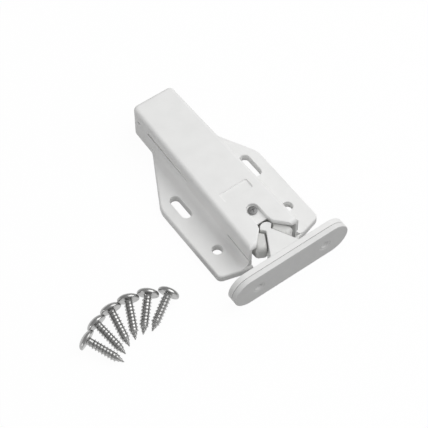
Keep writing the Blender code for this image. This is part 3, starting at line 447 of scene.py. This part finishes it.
# %% Fillets between the walls and the wings
FILLET, FILLET_IN, FILLET_LOW = 3.1, 1.05, 1.15
FILLET_SHORT, EDGE_ROOM = 0.04, 0.6
profile = [(-FILLET_IN, FILLET_LOW), (FILLET, FILLET_LOW)]
profile += arc(FILLET, WING_TOP + FILLET, FILLET, -pi / 2, -pi, 14)
profile += [(-FILLET_IN, WING_TOP + FILLET)]
for side, name in ((-1, "fillet_left"), (1, "fillet_right")):
    fillet = loft(name, [[(side * (u + wall(y)), y, v) for u, v in profile]
                         for y in (FRONT + FILLET_SHORT, flare_back)])
    limit = solid(name + "_limit", wing_plan(EDGE_ROOM), [(0, -1), (0, TOP)])
    combine(fillet, limit, "INTERSECT")
    combine(housing, fillet, "UNION")
print("fillets of", FILLET, "mm along both walls")

# %% [markdown]
# ## Housing: hollow, mouth and holes
# The underside is open for the slider, and the front is open for the jaws and the striker. The mouth
# in the top wall narrows to a throat round the striker's head. Each cutter is flared at the surface,
# so the mouth, the recess and the holes get the soft rims that a moulding has.

# %% Hollow
CEILING = 12.6
HOLLOW_HALF, HOLLOW_FRONT, HOLLOW_BACK = 7.2, -9, 50.6
BAY_MOUTH_HALF, BAY_HALF, BAY_LEAD, BAY_BACK = 9.8, 8.8, 4.2, -8.0


def rectangle(one_x, one_y, other_x, other_y):
    """An upright rectangle between two opposite corners."""
    return [(one_x, one_y), (other_x, one_y), (other_x, other_y), (one_x, other_y)]


hollow = rectangle(-HOLLOW_HALF, HOLLOW_FRONT, HOLLOW_HALF, HOLLOW_BACK)
combine(housing, solid("hollow", hollow, [(0, -1), (0, CEILING)]))
bay = [(BAY_MOUTH_HALF, nose - 1), (BAY_MOUTH_HALF, FRONT), (BAY_HALF, FRONT + BAY_LEAD),
       (BAY_HALF, BAY_BACK)]
combine(housing, solid("jaw_bay", mirrored(bay), [(0, -1), (0, CEILING)]))
print("hollow", 2 * HOLLOW_HALF, "mm wide, bay of the jaws", 2 * BAY_HALF, "mm")

# %% Mouth
THROAT_HALF, THROAT_BACK, THROAT_EDGE, MOUTH_HALF = 2.4, -16.8, (3.0, -19.2), 8.0
BACK_CORNER, EDGE_CORNER, MOUTH_RIM = 0.5, 0.8, 0.45


def flared(low, high, rim, steps=5, lean=radians(72), past=0.15, over=2):
    """Levels of a cutter that leaves a rounded rim where it meets a surface."""
    turns = [lean * k / steps for k in range(steps + 1)]
    made = [(0, low)] + [(-rim * (1 - cos(t)), high - rim + rim * sin(t)) for t in turns]
    inset, height = made[-1]
    outer = inset - past * tan(lean)
    return made + [(outer, height + past), (outer, height + over)]


throat = [(THROAT_HALF, THROAT_BACK), THROAT_EDGE, (MOUTH_HALF, FRONT), (MOUTH_HALF, nose - 3)]
radii = [BACK_CORNER, EDGE_CORNER, 0, 0]
throat = rounded(mirrored(throat), radii + radii[::-1], 5)
combine(housing, solid("mouth", throat, flared(CEILING - 1, TOP, MOUTH_RIM)))
print("mouth", 2 * MOUTH_HALF, "mm wide, throat", 2 * THROAT_HALF, "mm")

# %% Recess of the pivot screw
PIVOT, PIVOT_BORE_R = -11.3, 1.55
RECESS_R, RECESS_FRONT, RECESS_RIM = 2.4, -17.6, 0.4


def circle(centre_x, centre_y, radius, sides):
    """Points of a full circle, with no point twice."""
    return arc(centre_x, centre_y, radius, 0, 2 * pi, sides)[:-1]


recess = arc(0, PIVOT, RECESS_R, 0, pi, 24) + [(-RECESS_R, RECESS_FRONT), (RECESS_R, RECESS_FRONT)]
levels = [(0.5, 13.3), (0.22, 13.38), (0.06, 13.55), (0, 13.8)] + flared(13.9, TOP, RECESS_RIM)
combine(housing, solid("recess", recess, levels))
bore = circle(0, PIVOT, PIVOT_BORE_R, 32)
combine(housing, solid("pivot_bore", bore, [(0, CEILING - 1), (0, TOP + 1)]))
print("recess", 2 * RECESS_R, "mm wide and", round(TOP - levels[0][1], 1), "mm deep")

# %% Holes and slots in the wings
HOLE_X, HOLE_Y, HOLE_R = 16, -11.9, 2.0
SLOT_Y, SLOT_HALF = 10.9, 3.5
drafted = [(0.12, -1), (0.12, 0.2), (0.0, WING_TOP - 0.4), (-0.06, WING_TOP - 0.18),
           (-0.16, WING_TOP - 0.05), (-0.32, WING_TOP + 0.03), (-0.32, WING_TOP + 2)]
for side in (-1, 1):
    combine(housing, solid("wing_hole", circle(side * HOLE_X, HOLE_Y, HOLE_R, 40), drafted))
    slot = arc(side * HOLE_X, SLOT_Y + SLOT_HALF, HOLE_R, 0, pi, 20)
    slot += arc(side * HOLE_X, SLOT_Y - SLOT_HALF, HOLE_R, pi, 2 * pi, 20)
    combine(housing, solid("wing_slot", slot, drafted))
print("two round holes and two slots,", 2 * HOLE_X, "mm apart across the wings")

# %% [markdown]
# ## Housing: grooves and the bare panel
# Three marks run along each wall: a sharp crease above the fillet at the front, a long groove that
# is deep at the back and fades towards the front, and a short dash behind it. On top is a shallow
# sunk panel, left bare. Each groove is a loft of four-sided sections that dip into the wall. Small
# pockets inside the hollow take the lugs of the base cover.

# %% Wall grooves
CREASE_Z, GROOVE_Z, PROUD = 6.5, 9.4, 0.7
marks = {"crease": (CREASE_Z, [(FRONT - 1, 0.8, 0.9), (-12.2, 0.8, 0.9), (-10.7, 0.4, 0.3)]),
         "long_groove": (GROOVE_Z, [(14.6, 0.5, 0.3), (24, 1.0, 0.6), (41.0, 1.3, 1.0),
                                    (41.8, 1.0, 0.6)]),
         "dash": (GROOVE_Z, [(46.8, 0.7, 0.4), (47.2, 0.9, 0.6), (48.2, 0.9, 0.6),
                             (48.6, 0.7, 0.4)])}


def groove(name, side, z, stations):
    """A slit along a wall at a height, from stations of place, width and depth."""
    rings = []
    for y, width, depth in stations:
        section = [(PROUD, z + width * 0.7), (-depth, z + width * 0.3),
                   (-depth, z - width * 0.6), (PROUD, z - width * 0.4)]
        rings.append([(side * (wall(y) + u), y, h) for u, h in section])
    return loft(name, rings)


for side in (-1, 1):
    for name, (height, stations) in marks.items():
        combine(housing, groove(name, side, height, stations))
print(len(marks), "marks on each wall")

# %% Bare panel
PANEL_HALF, PANEL_FRONT, PANEL_BACK, PANEL_CORNER = 6.1, -3.5, 0.9, 0.5
panel = rounded(rectangle(-PANEL_HALF, PANEL_FRONT, PANEL_HALF, PANEL_BACK), [PANEL_CORNER] * 4, 4)
levels = [(0.3, TOP - 0.6), (0.2, TOP - 0.56), (0.0, TOP - 0.06), (-0.08, TOP), (-0.3, TOP + 0.1)]
combine(housing, solid("panel", panel, levels))
print("panel", 2 * PANEL_HALF, "mm wide and", round(TOP - levels[0][1], 1), "mm deep")

# %% Pockets for the cover's lugs
LUG_IN, LUG_OUT, LUG_HALF, LUG_LOW, LUG_HIGH = 6.3, 7.8, 2.3, 0.3, 1.5
for side in (-1, 1):
    for lug in (4.0, 38.6):
        pocket = rectangle(side * LUG_IN, lug - LUG_HALF, side * LUG_OUT, lug + LUG_HALF)
        combine(housing, solid("lug_pocket", pocket, [(0, LUG_LOW), (0, LUG_HIGH)]))
print("the housing takes", len(housing.modifiers), "Boolean steps")

# %% Finish the housing
def apply_modifiers(target):
    """Give an object the plain mesh that its modifiers make."""
    graph = bpy.context.evaluated_depsgraph_get()
    plain = bpy.data.meshes.new_from_object(target.evaluated_get(graph))
    target.modifiers.clear()
    target.data = plain
    return plain


def settle(target, look, sharp=32):
    """Apply the modifiers, drop the cutters, and shade smooth up to an angle in degrees."""
    tools = [step.object for step in target.modifiers if step.type == "BOOLEAN"]
    tools += [step.object for tool in tools for step in tool.modifiers]
    plain = apply_modifiers(target)
    plain.name = target.name
    for tool in tools:
        bpy.data.objects.remove(tool, do_unlink=True)
    plain.materials.clear()
    plain.materials.append(look)
    plain.shade_smooth()
    plain.set_sharp_from_angle(angle=radians(sharp))
    target.modifiers.new("even_shading", "WEIGHTED_NORMAL").keep_sharp = True
    print(target.name, "has", len(apply_modifiers(target).polygons), "faces")


settle(housing, housing_abs, 28)
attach(housing, "housing")
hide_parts("housing")

# %% [markdown]
# ## Striker
# The striker screws to the door. Its round head lies between the jaws, a narrow neck lets the hooks
# grip behind it, and a spreading web carries both to the oval plate. The plate has two layers, and
# the thin dark seam between them is a real gap.

# %% Striker body
KNOB, KNOB_R, NECK, NECK_HALF = -19.8, 2.5, -20.75, 1.0
PLATE_BACK, SEAM, PAD_BACK, PAD_FRONT = -30.85, -33.02, -33.18, -35.15
FLANK_LEAN, FOOT, RELIEF = radians(29), 0.8, 0.16
WEB_LOW, WEB_HIGH, WEB_ROUND = 2.8, 13.2, 0.3
FLANK = tan(FLANK_LEAN)
shoulder = acos((NECK_HALF + KNOB - NECK) / sqrt(2) / KNOB_R) - pi / 4
foot_x = NECK_HALF + FLANK * (NECK - PLATE_BACK - FOOT)
web_half = NECK_HALF + FLANK * (NECK - PLATE_BACK) + FOOT
half = [(web_half, PLATE_BACK - 1.2), (web_half, PLATE_BACK), (web_half - 0.5, PLATE_BACK + 0.22),
        (foot_x, PLATE_BACK + FOOT), (NECK_HALF + RELIEF, NECK - 0.3),
        (NECK_HALF + RELIEF, NECK + RELIEF)]
knob = arc(0, KNOB, KNOB_R, shoulder, pi - shoulder, 36)
plan = half + knob + [(-x, y) for x, y in reversed(half)]
striker = solid("striker_body", plan, moulded(WEB_LOW, WEB_HIGH, WEB_ROUND, WEB_ROUND, 5))
print("head", 2 * KNOB_R, "mm across")

# %% Oval plate and pad
MIDDLE, RADIUS, PLATE_HALF = 7.25, 7.15, 25.2
SEAM_ROUND, RIM_ROUND = 0.1, 0.3
SCREW_X, SCREW_BORE_R = 14.75, 1.7
oval = mirrored(arc(PLATE_HALF - RADIUS, MIDDLE, RADIUS, -pi / 2, pi / 2, 32))
plate = solid("oval_plate", oval, moulded(SEAM, PLATE_BACK, SEAM_ROUND, RIM_ROUND), "Y")
combine(striker, plate, "UNION")
pad = solid("striker_face", oval, moulded(PAD_FRONT, PAD_BACK, RIM_ROUND, SEAM_ROUND), "Y")
# The dimple has a shallow ring round it: pairs of radius and depth.
dish = [(0.3, 0.75), (0.8, 0.66), (1.2, 0.44), (1.5, 0.2), (1.7, 0.08), (1.9, 0.08), (2.1, 0.14),
        (2.3, 0.12), (2.45, 0.0), (2.6, -0.12)]
for side in (-1, 1):
    bore = circle(side * SCREW_X, MIDDLE, SCREW_BORE_R, 32)
    combine(striker, solid("plate_bore", bore, [(0, SEAM - 1), (0, PLATE_BACK + 1)], "Y"))
    rings = [[(x, PAD_FRONT + deep, z) for x, z in circle(side * SCREW_X, MIDDLE, r, 36)]
             for r, deep in dish]
    combine(pad, loft("dimple", rings))
settle(striker, striker_abs)
settle(pad, pad_abs)
for made, node, slot in ((striker, "striker", "striker_plastic"),
                         (pad, "striker_pad", "pad_plastic")):
    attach(made, "striker")
    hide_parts(node)

# %% [markdown]
# ## Jaws
# Two hooked jaws turn on steel pins and close round the head as the striker pushes the slider in.
# They stand closed here, so their faces follow the head and the web. The outer face is laid out with
# the jaw turned open, where it has to pass the edge of the mouth. The soft top is a rolling-ball
# fillet: on an even skin of small faces, each point is lowered by how near it lies to the outline.
# A Bevel would stop at the shortest edge of the outline, and so leave a hard rim.

# %% Jaw outline
PIN_X, PIN_Y, OPEN = 5.4, -16.0, radians(13.282)
GAP, HOOK_BLUNT, JAW_REACH = 0.25, 0.25, 6.9
EYE_R, EYE_STEPS, EYE_START = 2.9, 40, radians(-10)
MOUTH_EDGE, MOUTH_EDGE_IN, TIP_BACK = 9.5, 2.8, 2.6
TIP_ROUND, CORNER_ROUND = 1.3, 1.6
flank_gap = GAP / cos(FLANK_LEAN)
apex = (NECK_HALF + flank_gap + FLANK * (GAP * sqrt(2) + NECK_HALF)) / (1 + FLANK)


def shoulder_face(x):
    """Place of the hook's rear face, along the head's shoulder."""
    return NECK - GAP * sqrt(2) + x - NECK_HALF


def web_face(y):
    """Place of the hook's front face, along the web."""
    return NECK_HALF + flank_gap + FLANK * (NECK - y)


flat = shoulder_face(apex) - HOOK_BLUNT
tip = KNOB - JAW_REACH
hook = [(KNOB_R + GAP, KNOB + KNOB_R / 2), (KNOB_R + GAP, shoulder_face(KNOB_R + GAP)),
        (apex + HOOK_BLUNT, shoulder_face(apex + HOOK_BLUNT)), (web_face(flat), flat),
        (web_face(tip), tip)]
closed = arc(PIN_X, PIN_Y, EYE_R, EYE_START, pi - EYE_START, EYE_STEPS) + hook
to_open = Matrix.Rotation(OPEN, 2)
pin, eye_side = Vector((PIN_X, PIN_Y)), Vector((EYE_R, 0))
open_tip = to_open @ (Vector((web_face(tip), tip)) - pin)
mouth_edge = Vector((MOUTH_EDGE, FRONT + MOUTH_EDGE_IN)) - pin
open_corner = eye_side + (mouth_edge - eye_side) * (open_tip.y + TIP_BACK) / mouth_edge.y
closed.append(tuple(to_open.inverted() @ open_corner + pin))
outline = rounded(closed, [0] * (len(closed) - 2) + [TIP_ROUND, CORNER_ROUND])
print("jaw outline of", len(outline), "points")

# %% Distance from a jaw's edge
JAW_LOW, JAW_HIGH, ROLL, INNER_WEIGHT = 6.1, 12.2, 1.9, 3.0
inner = range(EYE_STEPS, EYE_STEPS + len(hook))
edges = [(Vector(a), Vector(b), INNER_WEIGHT if i in inner else 1.0)
         for i, (a, b) in enumerate(zip(outline, outline[1:] + outline[:1]))]


def from_edge(x, y):
    """Distance in plan from the jaw's outline, up to the roll and weighted at the inner faces."""
    here = Vector((x, y))
    best = ROLL
    for one, two, weight in edges:
        along = two - one
        share = min(max((here - one).dot(along) / along.length_squared, 0), 1)
        best = min(best, weight * (one + along * share - here).length)
    return best


print("at the pin the jaw lies", round(from_edge(PIN_X, PIN_Y), 1), "mm or more inside its edge")

# %% Jaws
SKIN, PIN_BORE_R, POCKET_R, POCKET_DEEP = 0.16, 1.3, 2.04, 2.6
for side, word in ((-1, "left"), (1, "right")):
    jaw = loft("jaw_arm_" + word, [[(side * x, y, z) for x, y in outline]
                                   for z in (JAW_LOW, JAW_HIGH)])
    skin = jaw.modifiers.new("even_skin", "REMESH")
    skin.mode = "VOXEL"
    skin.voxel_size = SKIN * MM
    for point in apply_modifiers(jaw).vertices:
        if point.co.z > (JAW_HIGH - ROLL) * MM:
            inside = from_edge(side * point.co.x / MM, point.co.y / MM)
            top = JAW_HIGH - ROLL + sqrt(ROLL ** 2 - (ROLL - inside) ** 2)
            point.co.z = min(point.co.z, top * MM)
    soft = jaw.modifiers.new("soft_edges", "SMOOTH")
    soft.factor = 0.5
    soft.iterations = 8
    bore = circle(side * PIN_X, PIN_Y, PIN_BORE_R, 32)
    combine(jaw, solid("pin_bore", bore, [(0, JAW_LOW - 1), (0, JAW_HIGH + 1)]))
    pocket = circle(side * PIN_X, PIN_Y, POCKET_R, 40)
    combine(jaw, solid("spring_pocket", pocket, [(0, JAW_HIGH - POCKET_DEEP), (0, JAW_HIGH + 1)]))
    settle(jaw, jaw_acetal_painted_shade)
    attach(jaw, "jaw_" + word)
    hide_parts("jaw_" + word)

# %% [markdown]
# ## Pivot screw
# A small dark screw sits in the recess on top and holds the hidden follower on its collar. Its head
# is a low dome with a cross. A lathe shape is a loft of circles, so the same helper makes it.

# %% Turned shapes
def turned(name, profile, centre, sides):
    """A lathe shape about an upright axis, from pairs of radius and height."""
    return loft(name, [[(*p, z) for p in circle(*centre, r, sides)] for r, z in profile])


def cross_cutter(name, centre, top, depth, reach, width):
    """A tapering cross that sinks into a screw head."""
    rings = []
    for share, height in ((0.55, top - depth), (1.0, top), (1.0, top + 1)):
        r, w = reach * share, width / 2 * (0.6 + 0.4 * share)
        quarter = [(r, -w), (r, w), (w, w)]
        plan = []
        for k in range(4):
            turn = Matrix.Rotation(-k * pi / 2, 2)
            plan += [tuple(Vector(p) @ turn) for p in quarter]
        rings.append([(centre[0] + x, centre[1] + y, height) for x, y in plan])
    return loft(name, rings)


PIVOT_SHANK_R, PIVOT_HEAD_R, PIVOT_RIM, PIVOT_DOME = 1.25, 1.8, 13.78, 0.32
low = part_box("pivot_screw")[0]
pivot = [(PIVOT_SHANK_R, low.z / MM), (PIVOT_SHANK_R, 13.4), (PIVOT_SHANK_R, 13.6), (1.72, 13.6),
         (PIVOT_HEAD_R, 13.68), (PIVOT_HEAD_R, PIVOT_RIM)]
pivot += [(PIVOT_HEAD_R * cos(radians(t)), PIVOT_RIM + PIVOT_DOME * sin(radians(t)))
          for t in range(15, 90, 15)]
pivot_screw = turned("pivot_screw_turned", pivot, (0, PIVOT), 48)
combine(pivot_screw, cross_cutter("pivot_cross", (0, PIVOT), top=14.1, depth=0.3, reach=1.0,
                                  width=0.36))
settle(pivot_screw, dark_plate, 40)
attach(pivot_screw, "housing")
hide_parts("pivot_screw")

# %% [markdown]
# ## Mounting screws
# Six self-tapping screws lie loose beside the latch. A thread is a rule: as you go round the shank,
# the ridge climbs by one pitch. So a Geometry Nodes tree bends a plain cylinder: each point keeps its
# angle and height, and gets a new radius from the ridge. The ridge runs out under the head, and the
# shank narrows to its point.

# %% Screw head
HEAD_R, HEAD_H, HEAD_RIM, HEAD_DOME, LENGTH = 4.0, 2.4, 0.6, 1.8, 14.4
profile = [(0.9, LENGTH - 0.9), (1.3, LENGTH - 0.9), (1.36, LENGTH - 0.45), (1.6, LENGTH - 0.12),
           (2.1, LENGTH), (3.6, LENGTH + 0.02), (3.86, LENGTH + 0.08), (3.98, LENGTH + 0.24),
           (HEAD_R, LENGTH + 0.45)]
profile += [(HEAD_R * cos(radians(t)), LENGTH + HEAD_RIM + HEAD_DOME * sin(radians(t)))
            for t in range(6, 90, 7)]
head = turned("screw_head", profile, (0, 0), 56)
combine(head, cross_cutter("drive_cross", (0, 0), top=LENGTH + HEAD_H, depth=1.5, reach=1.9,
                           width=0.9))
settle(head, nickel, 40)

# %% Thread tree
def new_tree(name, result, inputs):
    """A Geometry Nodes tree with one result, and the outputs that give its named inputs."""
    tree = bpy.data.node_groups.new(name, "GeometryNodeTree")
    tree.interface.new_socket(result, in_out="OUTPUT", socket_type="NodeSocketGeometry")
    for word, kind in inputs.items():
        tree.interface.new_socket(word, in_out="INPUT", socket_type="NodeSocket" + kind)
    return tree, tree.nodes.new("NodeGroupInput").outputs


thread, given = new_tree("tapping_screw", "Screw", {
    "Geometry": "Geometry", "Length": "Float", "Core radius": "Float", "Crest radius": "Float",
    "Point length": "Float", "Pitch": "Float", "Head": "Object", "Plating": "Material"})
bar = add(thread, "GeometryNodeMeshCylinder", {"Vertices": 36, "Side Segments": 300, "Radius": MM,
                                               "Depth": given["Length"]}, fill_type="NGON")
place = add(thread, "GeometryNodeInputPosition")
spot = add(thread, "ShaderNodeSeparateXYZ", {0: place.outputs[0]})
half_length = add(thread, MATHS, {0: given["Length"], 1: 0.5}, operation="MULTIPLY")
along = add(thread, MATHS, {0: spot.outputs["Z"], 1: half_length.outputs[0]}, operation="ADD")
angle = add(thread, MATHS, {0: spot.outputs["Y"], 1: spot.outputs["X"]}, operation="ARCTAN2")
turns = add(thread, MATHS, {0: angle.outputs[0], 1: 2 * pi}, operation="DIVIDE")
climbs = add(thread, MATHS, {0: along.outputs[0], 1: given["Pitch"]}, operation="DIVIDE")
phase = add(thread, MATHS, {0: climbs.outputs[0], 1: turns.outputs[0]}, operation="SUBTRACT")
phase = add(thread, MATHS, {0: phase.outputs[0]}, operation="FRACT")
phase = add(thread, MATHS, {0: phase.outputs[0], 1: 0.5}, operation="SUBTRACT")
phase = add(thread, MATHS, {0: phase.outputs[0]}, operation="ABSOLUTE")
ridge = add(thread, "ShaderNodeMapRange", {"Value": phase.outputs[0], "From Min": 0.03,
                                           "From Max": 0.2, "To Min": 1.0, "To Max": 0.0})
print("thread tree so far:", len(thread.nodes), "nodes")

# %% Thread tree, continued
run_out = add(thread, MATHS, {0: given["Length"], 1: along.outputs[0]}, operation="SUBTRACT")
run_out = add(thread, "ShaderNodeMapRange", {"Value": run_out.outputs[0], "From Min": 0.0007,
                                             "From Max": 0.0014})
height = add(thread, MATHS, {0: given["Crest radius"], 1: given["Core radius"]},
             operation="SUBTRACT")
height = add(thread, MATHS, {0: height.outputs[0], 1: ridge.outputs[0]}, operation="MULTIPLY")
height = add(thread, MATHS, {0: height.outputs[0], 1: run_out.outputs[0]}, operation="MULTIPLY")
radius = add(thread, MATHS, {0: given["Core radius"], 1: height.outputs[0]}, operation="ADD")
point = add(thread, "ShaderNodeMapRange", {"Value": along.outputs[0], "From Min": 0.0,
                                           "From Max": given["Point length"], "To Min": 0.1,
                                           "To Max": 1.0})
radius = add(thread, MATHS, {0: radius.outputs[0], 1: point.outputs["Result"]}, operation="MULTIPLY")
across = add(thread, MATHS, {0: angle.outputs[0]}, operation="COSINE")
across = add(thread, MATHS, {0: across.outputs[0], 1: radius.outputs[0]}, operation="MULTIPLY")
aside = add(thread, MATHS, {0: angle.outputs[0]}, operation="SINE")
aside = add(thread, MATHS, {0: aside.outputs[0], 1: radius.outputs[0]}, operation="MULTIPLY")
new_spot = add(thread, "ShaderNodeCombineXYZ", {"X": across.outputs[0], "Y": aside.outputs[0],
                                                "Z": along.outputs[0]})
bent = add(thread, "GeometryNodeSetPosition", {"Geometry": bar.outputs["Mesh"],
                                               "Position": new_spot.outputs[0]})
smooth = add(thread, "GeometryNodeSetShadeSmooth", {"Geometry": bent.outputs[0]})
cap = add(thread, "GeometryNodeObjectInfo", {"Object": given["Head"]})
joined = add(thread, "GeometryNodeJoinGeometry", {"Geometry": cap.outputs["Geometry"]})
thread.links.new(smooth.outputs[0], joined.inputs["Geometry"])
real = add(thread, "GeometryNodeRealizeInstances", {"Geometry": joined.outputs[0]})
dressed = add(thread, "GeometryNodeSetMaterial", {"Geometry": real.outputs[0],
                                                  "Material": given["Plating"]})
add(thread, "NodeGroupOutput", {"Screw": dressed.outputs[0]})
print("thread tree:", len(thread.nodes), "nodes")

# %% Growing a piece from a tree
def grow(name, tree, values):
    """Run a Geometry Nodes tree once with named values, and keep the result as a plain mesh."""
    made = bpy.data.objects.new(name, bpy.data.meshes.new(name))
    scene.collection.objects.link(made)
    step = made.modifiers.new("grown", "NODES")
    step.node_group = tree
    for item in tree.interface.items_tree:
        if item.in_out == "INPUT" and item.name in values:
            step[item.identifier] = values[item.name]
    apply_modifiers(made)
    return made


sizes = {"Length": (LENGTH - 0.3) * MM, "Core radius": 1.35 * MM, "Crest radius": 1.78 * MM,
         "Point length": 3.4 * MM, "Pitch": 1.25 * MM, "Head": head, "Plating": nickel}
print("screw inputs:", [item.name for item in thread.interface.items_tree if item.name in sizes])

# %% Six loose screws
# Each lies on the rim of its head and on the shank near its point. The heads stand round an arc,
# and the angles are in degrees, but for the turn of each screw about itself, in radians.
REST_R, REST_AT, FLOOR_GAP = 1.7, 3.8, 0.3
FAN_X, FAN_Y, FAN_R = -58.55, -36.8, 27.0
FIRST_AROUND, STEP_AROUND = 127.0, 15.8
FIRST_HEADING, STEP_HEADING, STEP_TURN = 116.0, 16.9, 0.9
lie = atan2(HEAD_R - REST_R, LENGTH - REST_AT)
head_reach = (LENGTH + HEAD_H / 2) * cos(lie)
point_z = REST_R * cos(lie) - REST_AT * sin(lie) + FLOOR_GAP
for i in range(6):
    screw = grow("tapping_screw_%d" % (i + 1), thread, sizes)
    around = radians(FIRST_AROUND - STEP_AROUND * i)
    heading = radians(FIRST_HEADING - STEP_HEADING * i)
    spot = Vector((FAN_X + FAN_R * cos(around) - head_reach * cos(heading),
                   FAN_Y + FAN_R * sin(around) - head_reach * sin(heading), point_z)) * MM
    aim = Vector((cos(heading) * cos(lie), sin(heading) * cos(lie), sin(lie)))
    aim = aim.to_track_quat("Z", "Y").to_matrix().to_4x4()
    screw.data.transform(Matrix.Translation(spot) @ aim @ Matrix.Rotation(STEP_TURN * i, 4, "Z"))
    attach(screw, "screw_set")
    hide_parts("mounting_screw_%d" % (i + 1))
    print(screw.name, "has", len(screw.data.polygons), "faces")
bpy.data.objects.remove(head, do_unlink=True)

# %% [markdown]
# ## Springs
# A coil spring is a wire on a spiral. The spiral gives even turns, and a real compression spring has
# closed end turns, so the tree moves each point along: the first and last turn lie close, and the
# turns between share the rest. In the latch the long spring grows longer as the slider comes out;
# here it is wound once, to the length of the imported spring.

# %% Spring tree
wound, given = new_tree("wound_spring", "Spring", {
    "Geometry": "Geometry", "Turns": "Float", "Coil radius": "Float", "Wire radius": "Float",
    "Closed pitch": "Float", "Open pitch": "Float", "Points per turn": "Int", "Steel": "Material"})
line = add(wound, "GeometryNodeCurveSpiral", {"Resolution": given["Points per turn"],
                                              "Rotations": given["Turns"],
                                              "Start Radius": given["Coil radius"],
                                              "End Radius": given["Coil radius"], "Height": 1.0})
place = add(wound, "GeometryNodeInputPosition")
spot = add(wound, "ShaderNodeSeparateXYZ", {0: place.outputs[0]})
turn = add(wound, MATHS, {0: spot.outputs["Z"], 1: given["Turns"]}, operation="MULTIPLY")
last = add(wound, MATHS, {0: given["Turns"], 1: 1.0}, operation="SUBTRACT")
first_turn = add(wound, MATHS, {0: turn.outputs[0], 1: 1.0}, operation="MINIMUM")
last_turn = add(wound, MATHS, {0: turn.outputs[0], 1: last.outputs[0]}, operation="SUBTRACT")
last_turn = add(wound, MATHS, {0: last_turn.outputs[0], 1: 0.0}, operation="MAXIMUM")
ends = add(wound, MATHS, {0: first_turn.outputs[0], 1: last_turn.outputs[0]}, operation="ADD")
middle = add(wound, MATHS, {0: turn.outputs[0], 1: ends.outputs[0]}, operation="SUBTRACT")
ends = add(wound, MATHS, {0: ends.outputs[0], 1: given["Closed pitch"]}, operation="MULTIPLY")
climb = add(wound, MATHS, {0: middle.outputs[0], 1: given["Open pitch"], 2: ends.outputs[0]},
            operation="MULTIPLY_ADD")
new_spot = add(wound, "ShaderNodeCombineXYZ", {"X": spot.outputs["X"], "Y": spot.outputs["Y"],
                                               "Z": climb.outputs[0]})
bent = add(wound, "GeometryNodeSetPosition", {"Geometry": line.outputs[0],
                                              "Position": new_spot.outputs[0]})
ring = add(wound, "GeometryNodeCurvePrimitiveCircle", {"Resolution": 12,
                                                       "Radius": given["Wire radius"]})
wire = add(wound, "GeometryNodeCurveToMesh", {"Curve": bent.outputs[0],
                                              "Profile Curve": ring.outputs[0], "Fill Caps": True})
smooth = add(wound, "GeometryNodeSetShadeSmooth", {"Geometry": wire.outputs[0]})
real = add(wound, "GeometryNodeRealizeInstances", {"Geometry": smooth.outputs[0]})
dressed = add(wound, "GeometryNodeSetMaterial", {"Geometry": real.outputs[0],
                                                 "Material": given["Steel"]})
add(wound, "NodeGroupOutput", {"Spring": dressed.outputs[0]})
print("spring tree:", len(wound.nodes), "nodes")

# %% Push spring
PUSH_TURNS, PUSH_COIL, PUSH_WIRE, CLOSED_PITCH = 20.0, 1.95, 0.35, 0.9
low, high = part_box("push_spring")
run = (high.y - low.y) / MM - 2 * PUSH_WIRE
open_pitch = (run - 2 * CLOSED_PITCH) / (PUSH_TURNS - 2)
spring = grow("push_spring_wound", wound,
              {"Turns": PUSH_TURNS, "Coil radius": PUSH_COIL * MM, "Wire radius": PUSH_WIRE * MM,
               "Points per turn": 40, "Closed pitch": CLOSED_PITCH * MM,
               "Open pitch": open_pitch * MM, "Steel": spring_wire})
middle = (low + high) / 2
start = Matrix.Translation((0, low.y + PUSH_WIRE * MM, middle.z))
spring.data.transform(start @ Matrix.Rotation(-pi / 2, 4, "X"))
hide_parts("push_spring")
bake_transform(spring)
print("push spring", round(run, 1), "mm long, pitch", round(open_pitch, 2), "mm")

# %% Jaw springs
JAW_TURNS, JAW_COIL, JAW_WIRE = 2.0, 1.52, 0.22
for side, word in ((-1, "left"), (1, "right")):
    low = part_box("jaw_spring_" + word)[0]
    spring = grow("jaw_spring_wound_" + word, wound,
                  {"Turns": JAW_TURNS, "Coil radius": JAW_COIL * MM, "Wire radius": JAW_WIRE * MM,
                   "Points per turn": 48, "Closed pitch": CLOSED_PITCH * MM,
                   "Open pitch": CLOSED_PITCH * MM, "Steel": spring_wire})
    place = Vector((side * PIN_X * MM, PIN_Y * MM, low.z + JAW_WIRE * MM))
    spring.data.transform(Matrix.Translation(place))
    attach(spring, "jaw_" + word)
    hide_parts("jaw_spring_" + word)
    print(spring.name, "has", len(spring.data.polygons), "faces")

# %% [markdown]
# ## The hidden mechanism
# The slider, the jaw pins, the follower, the collar, the spring guide and the base cover keep their
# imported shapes, which are right for pieces that show only from below or through the mouth. They
# still need real finishes, so each gets one of the materials above in its material slot.

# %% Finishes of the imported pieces
finishes = {"slider": slider_nylon, "spring_guide": slider_nylon, "pivot_collar": slider_nylon,
            "base_cover": cover_pp, "cam_follower": spring_wire, "jaw_pin_left": ground_steel,
            "jaw_pin_right": ground_steel}
for node, look in finishes.items():
    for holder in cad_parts[node].material_slots:
        holder.material = look
print("finished in place:", sorted(finishes))
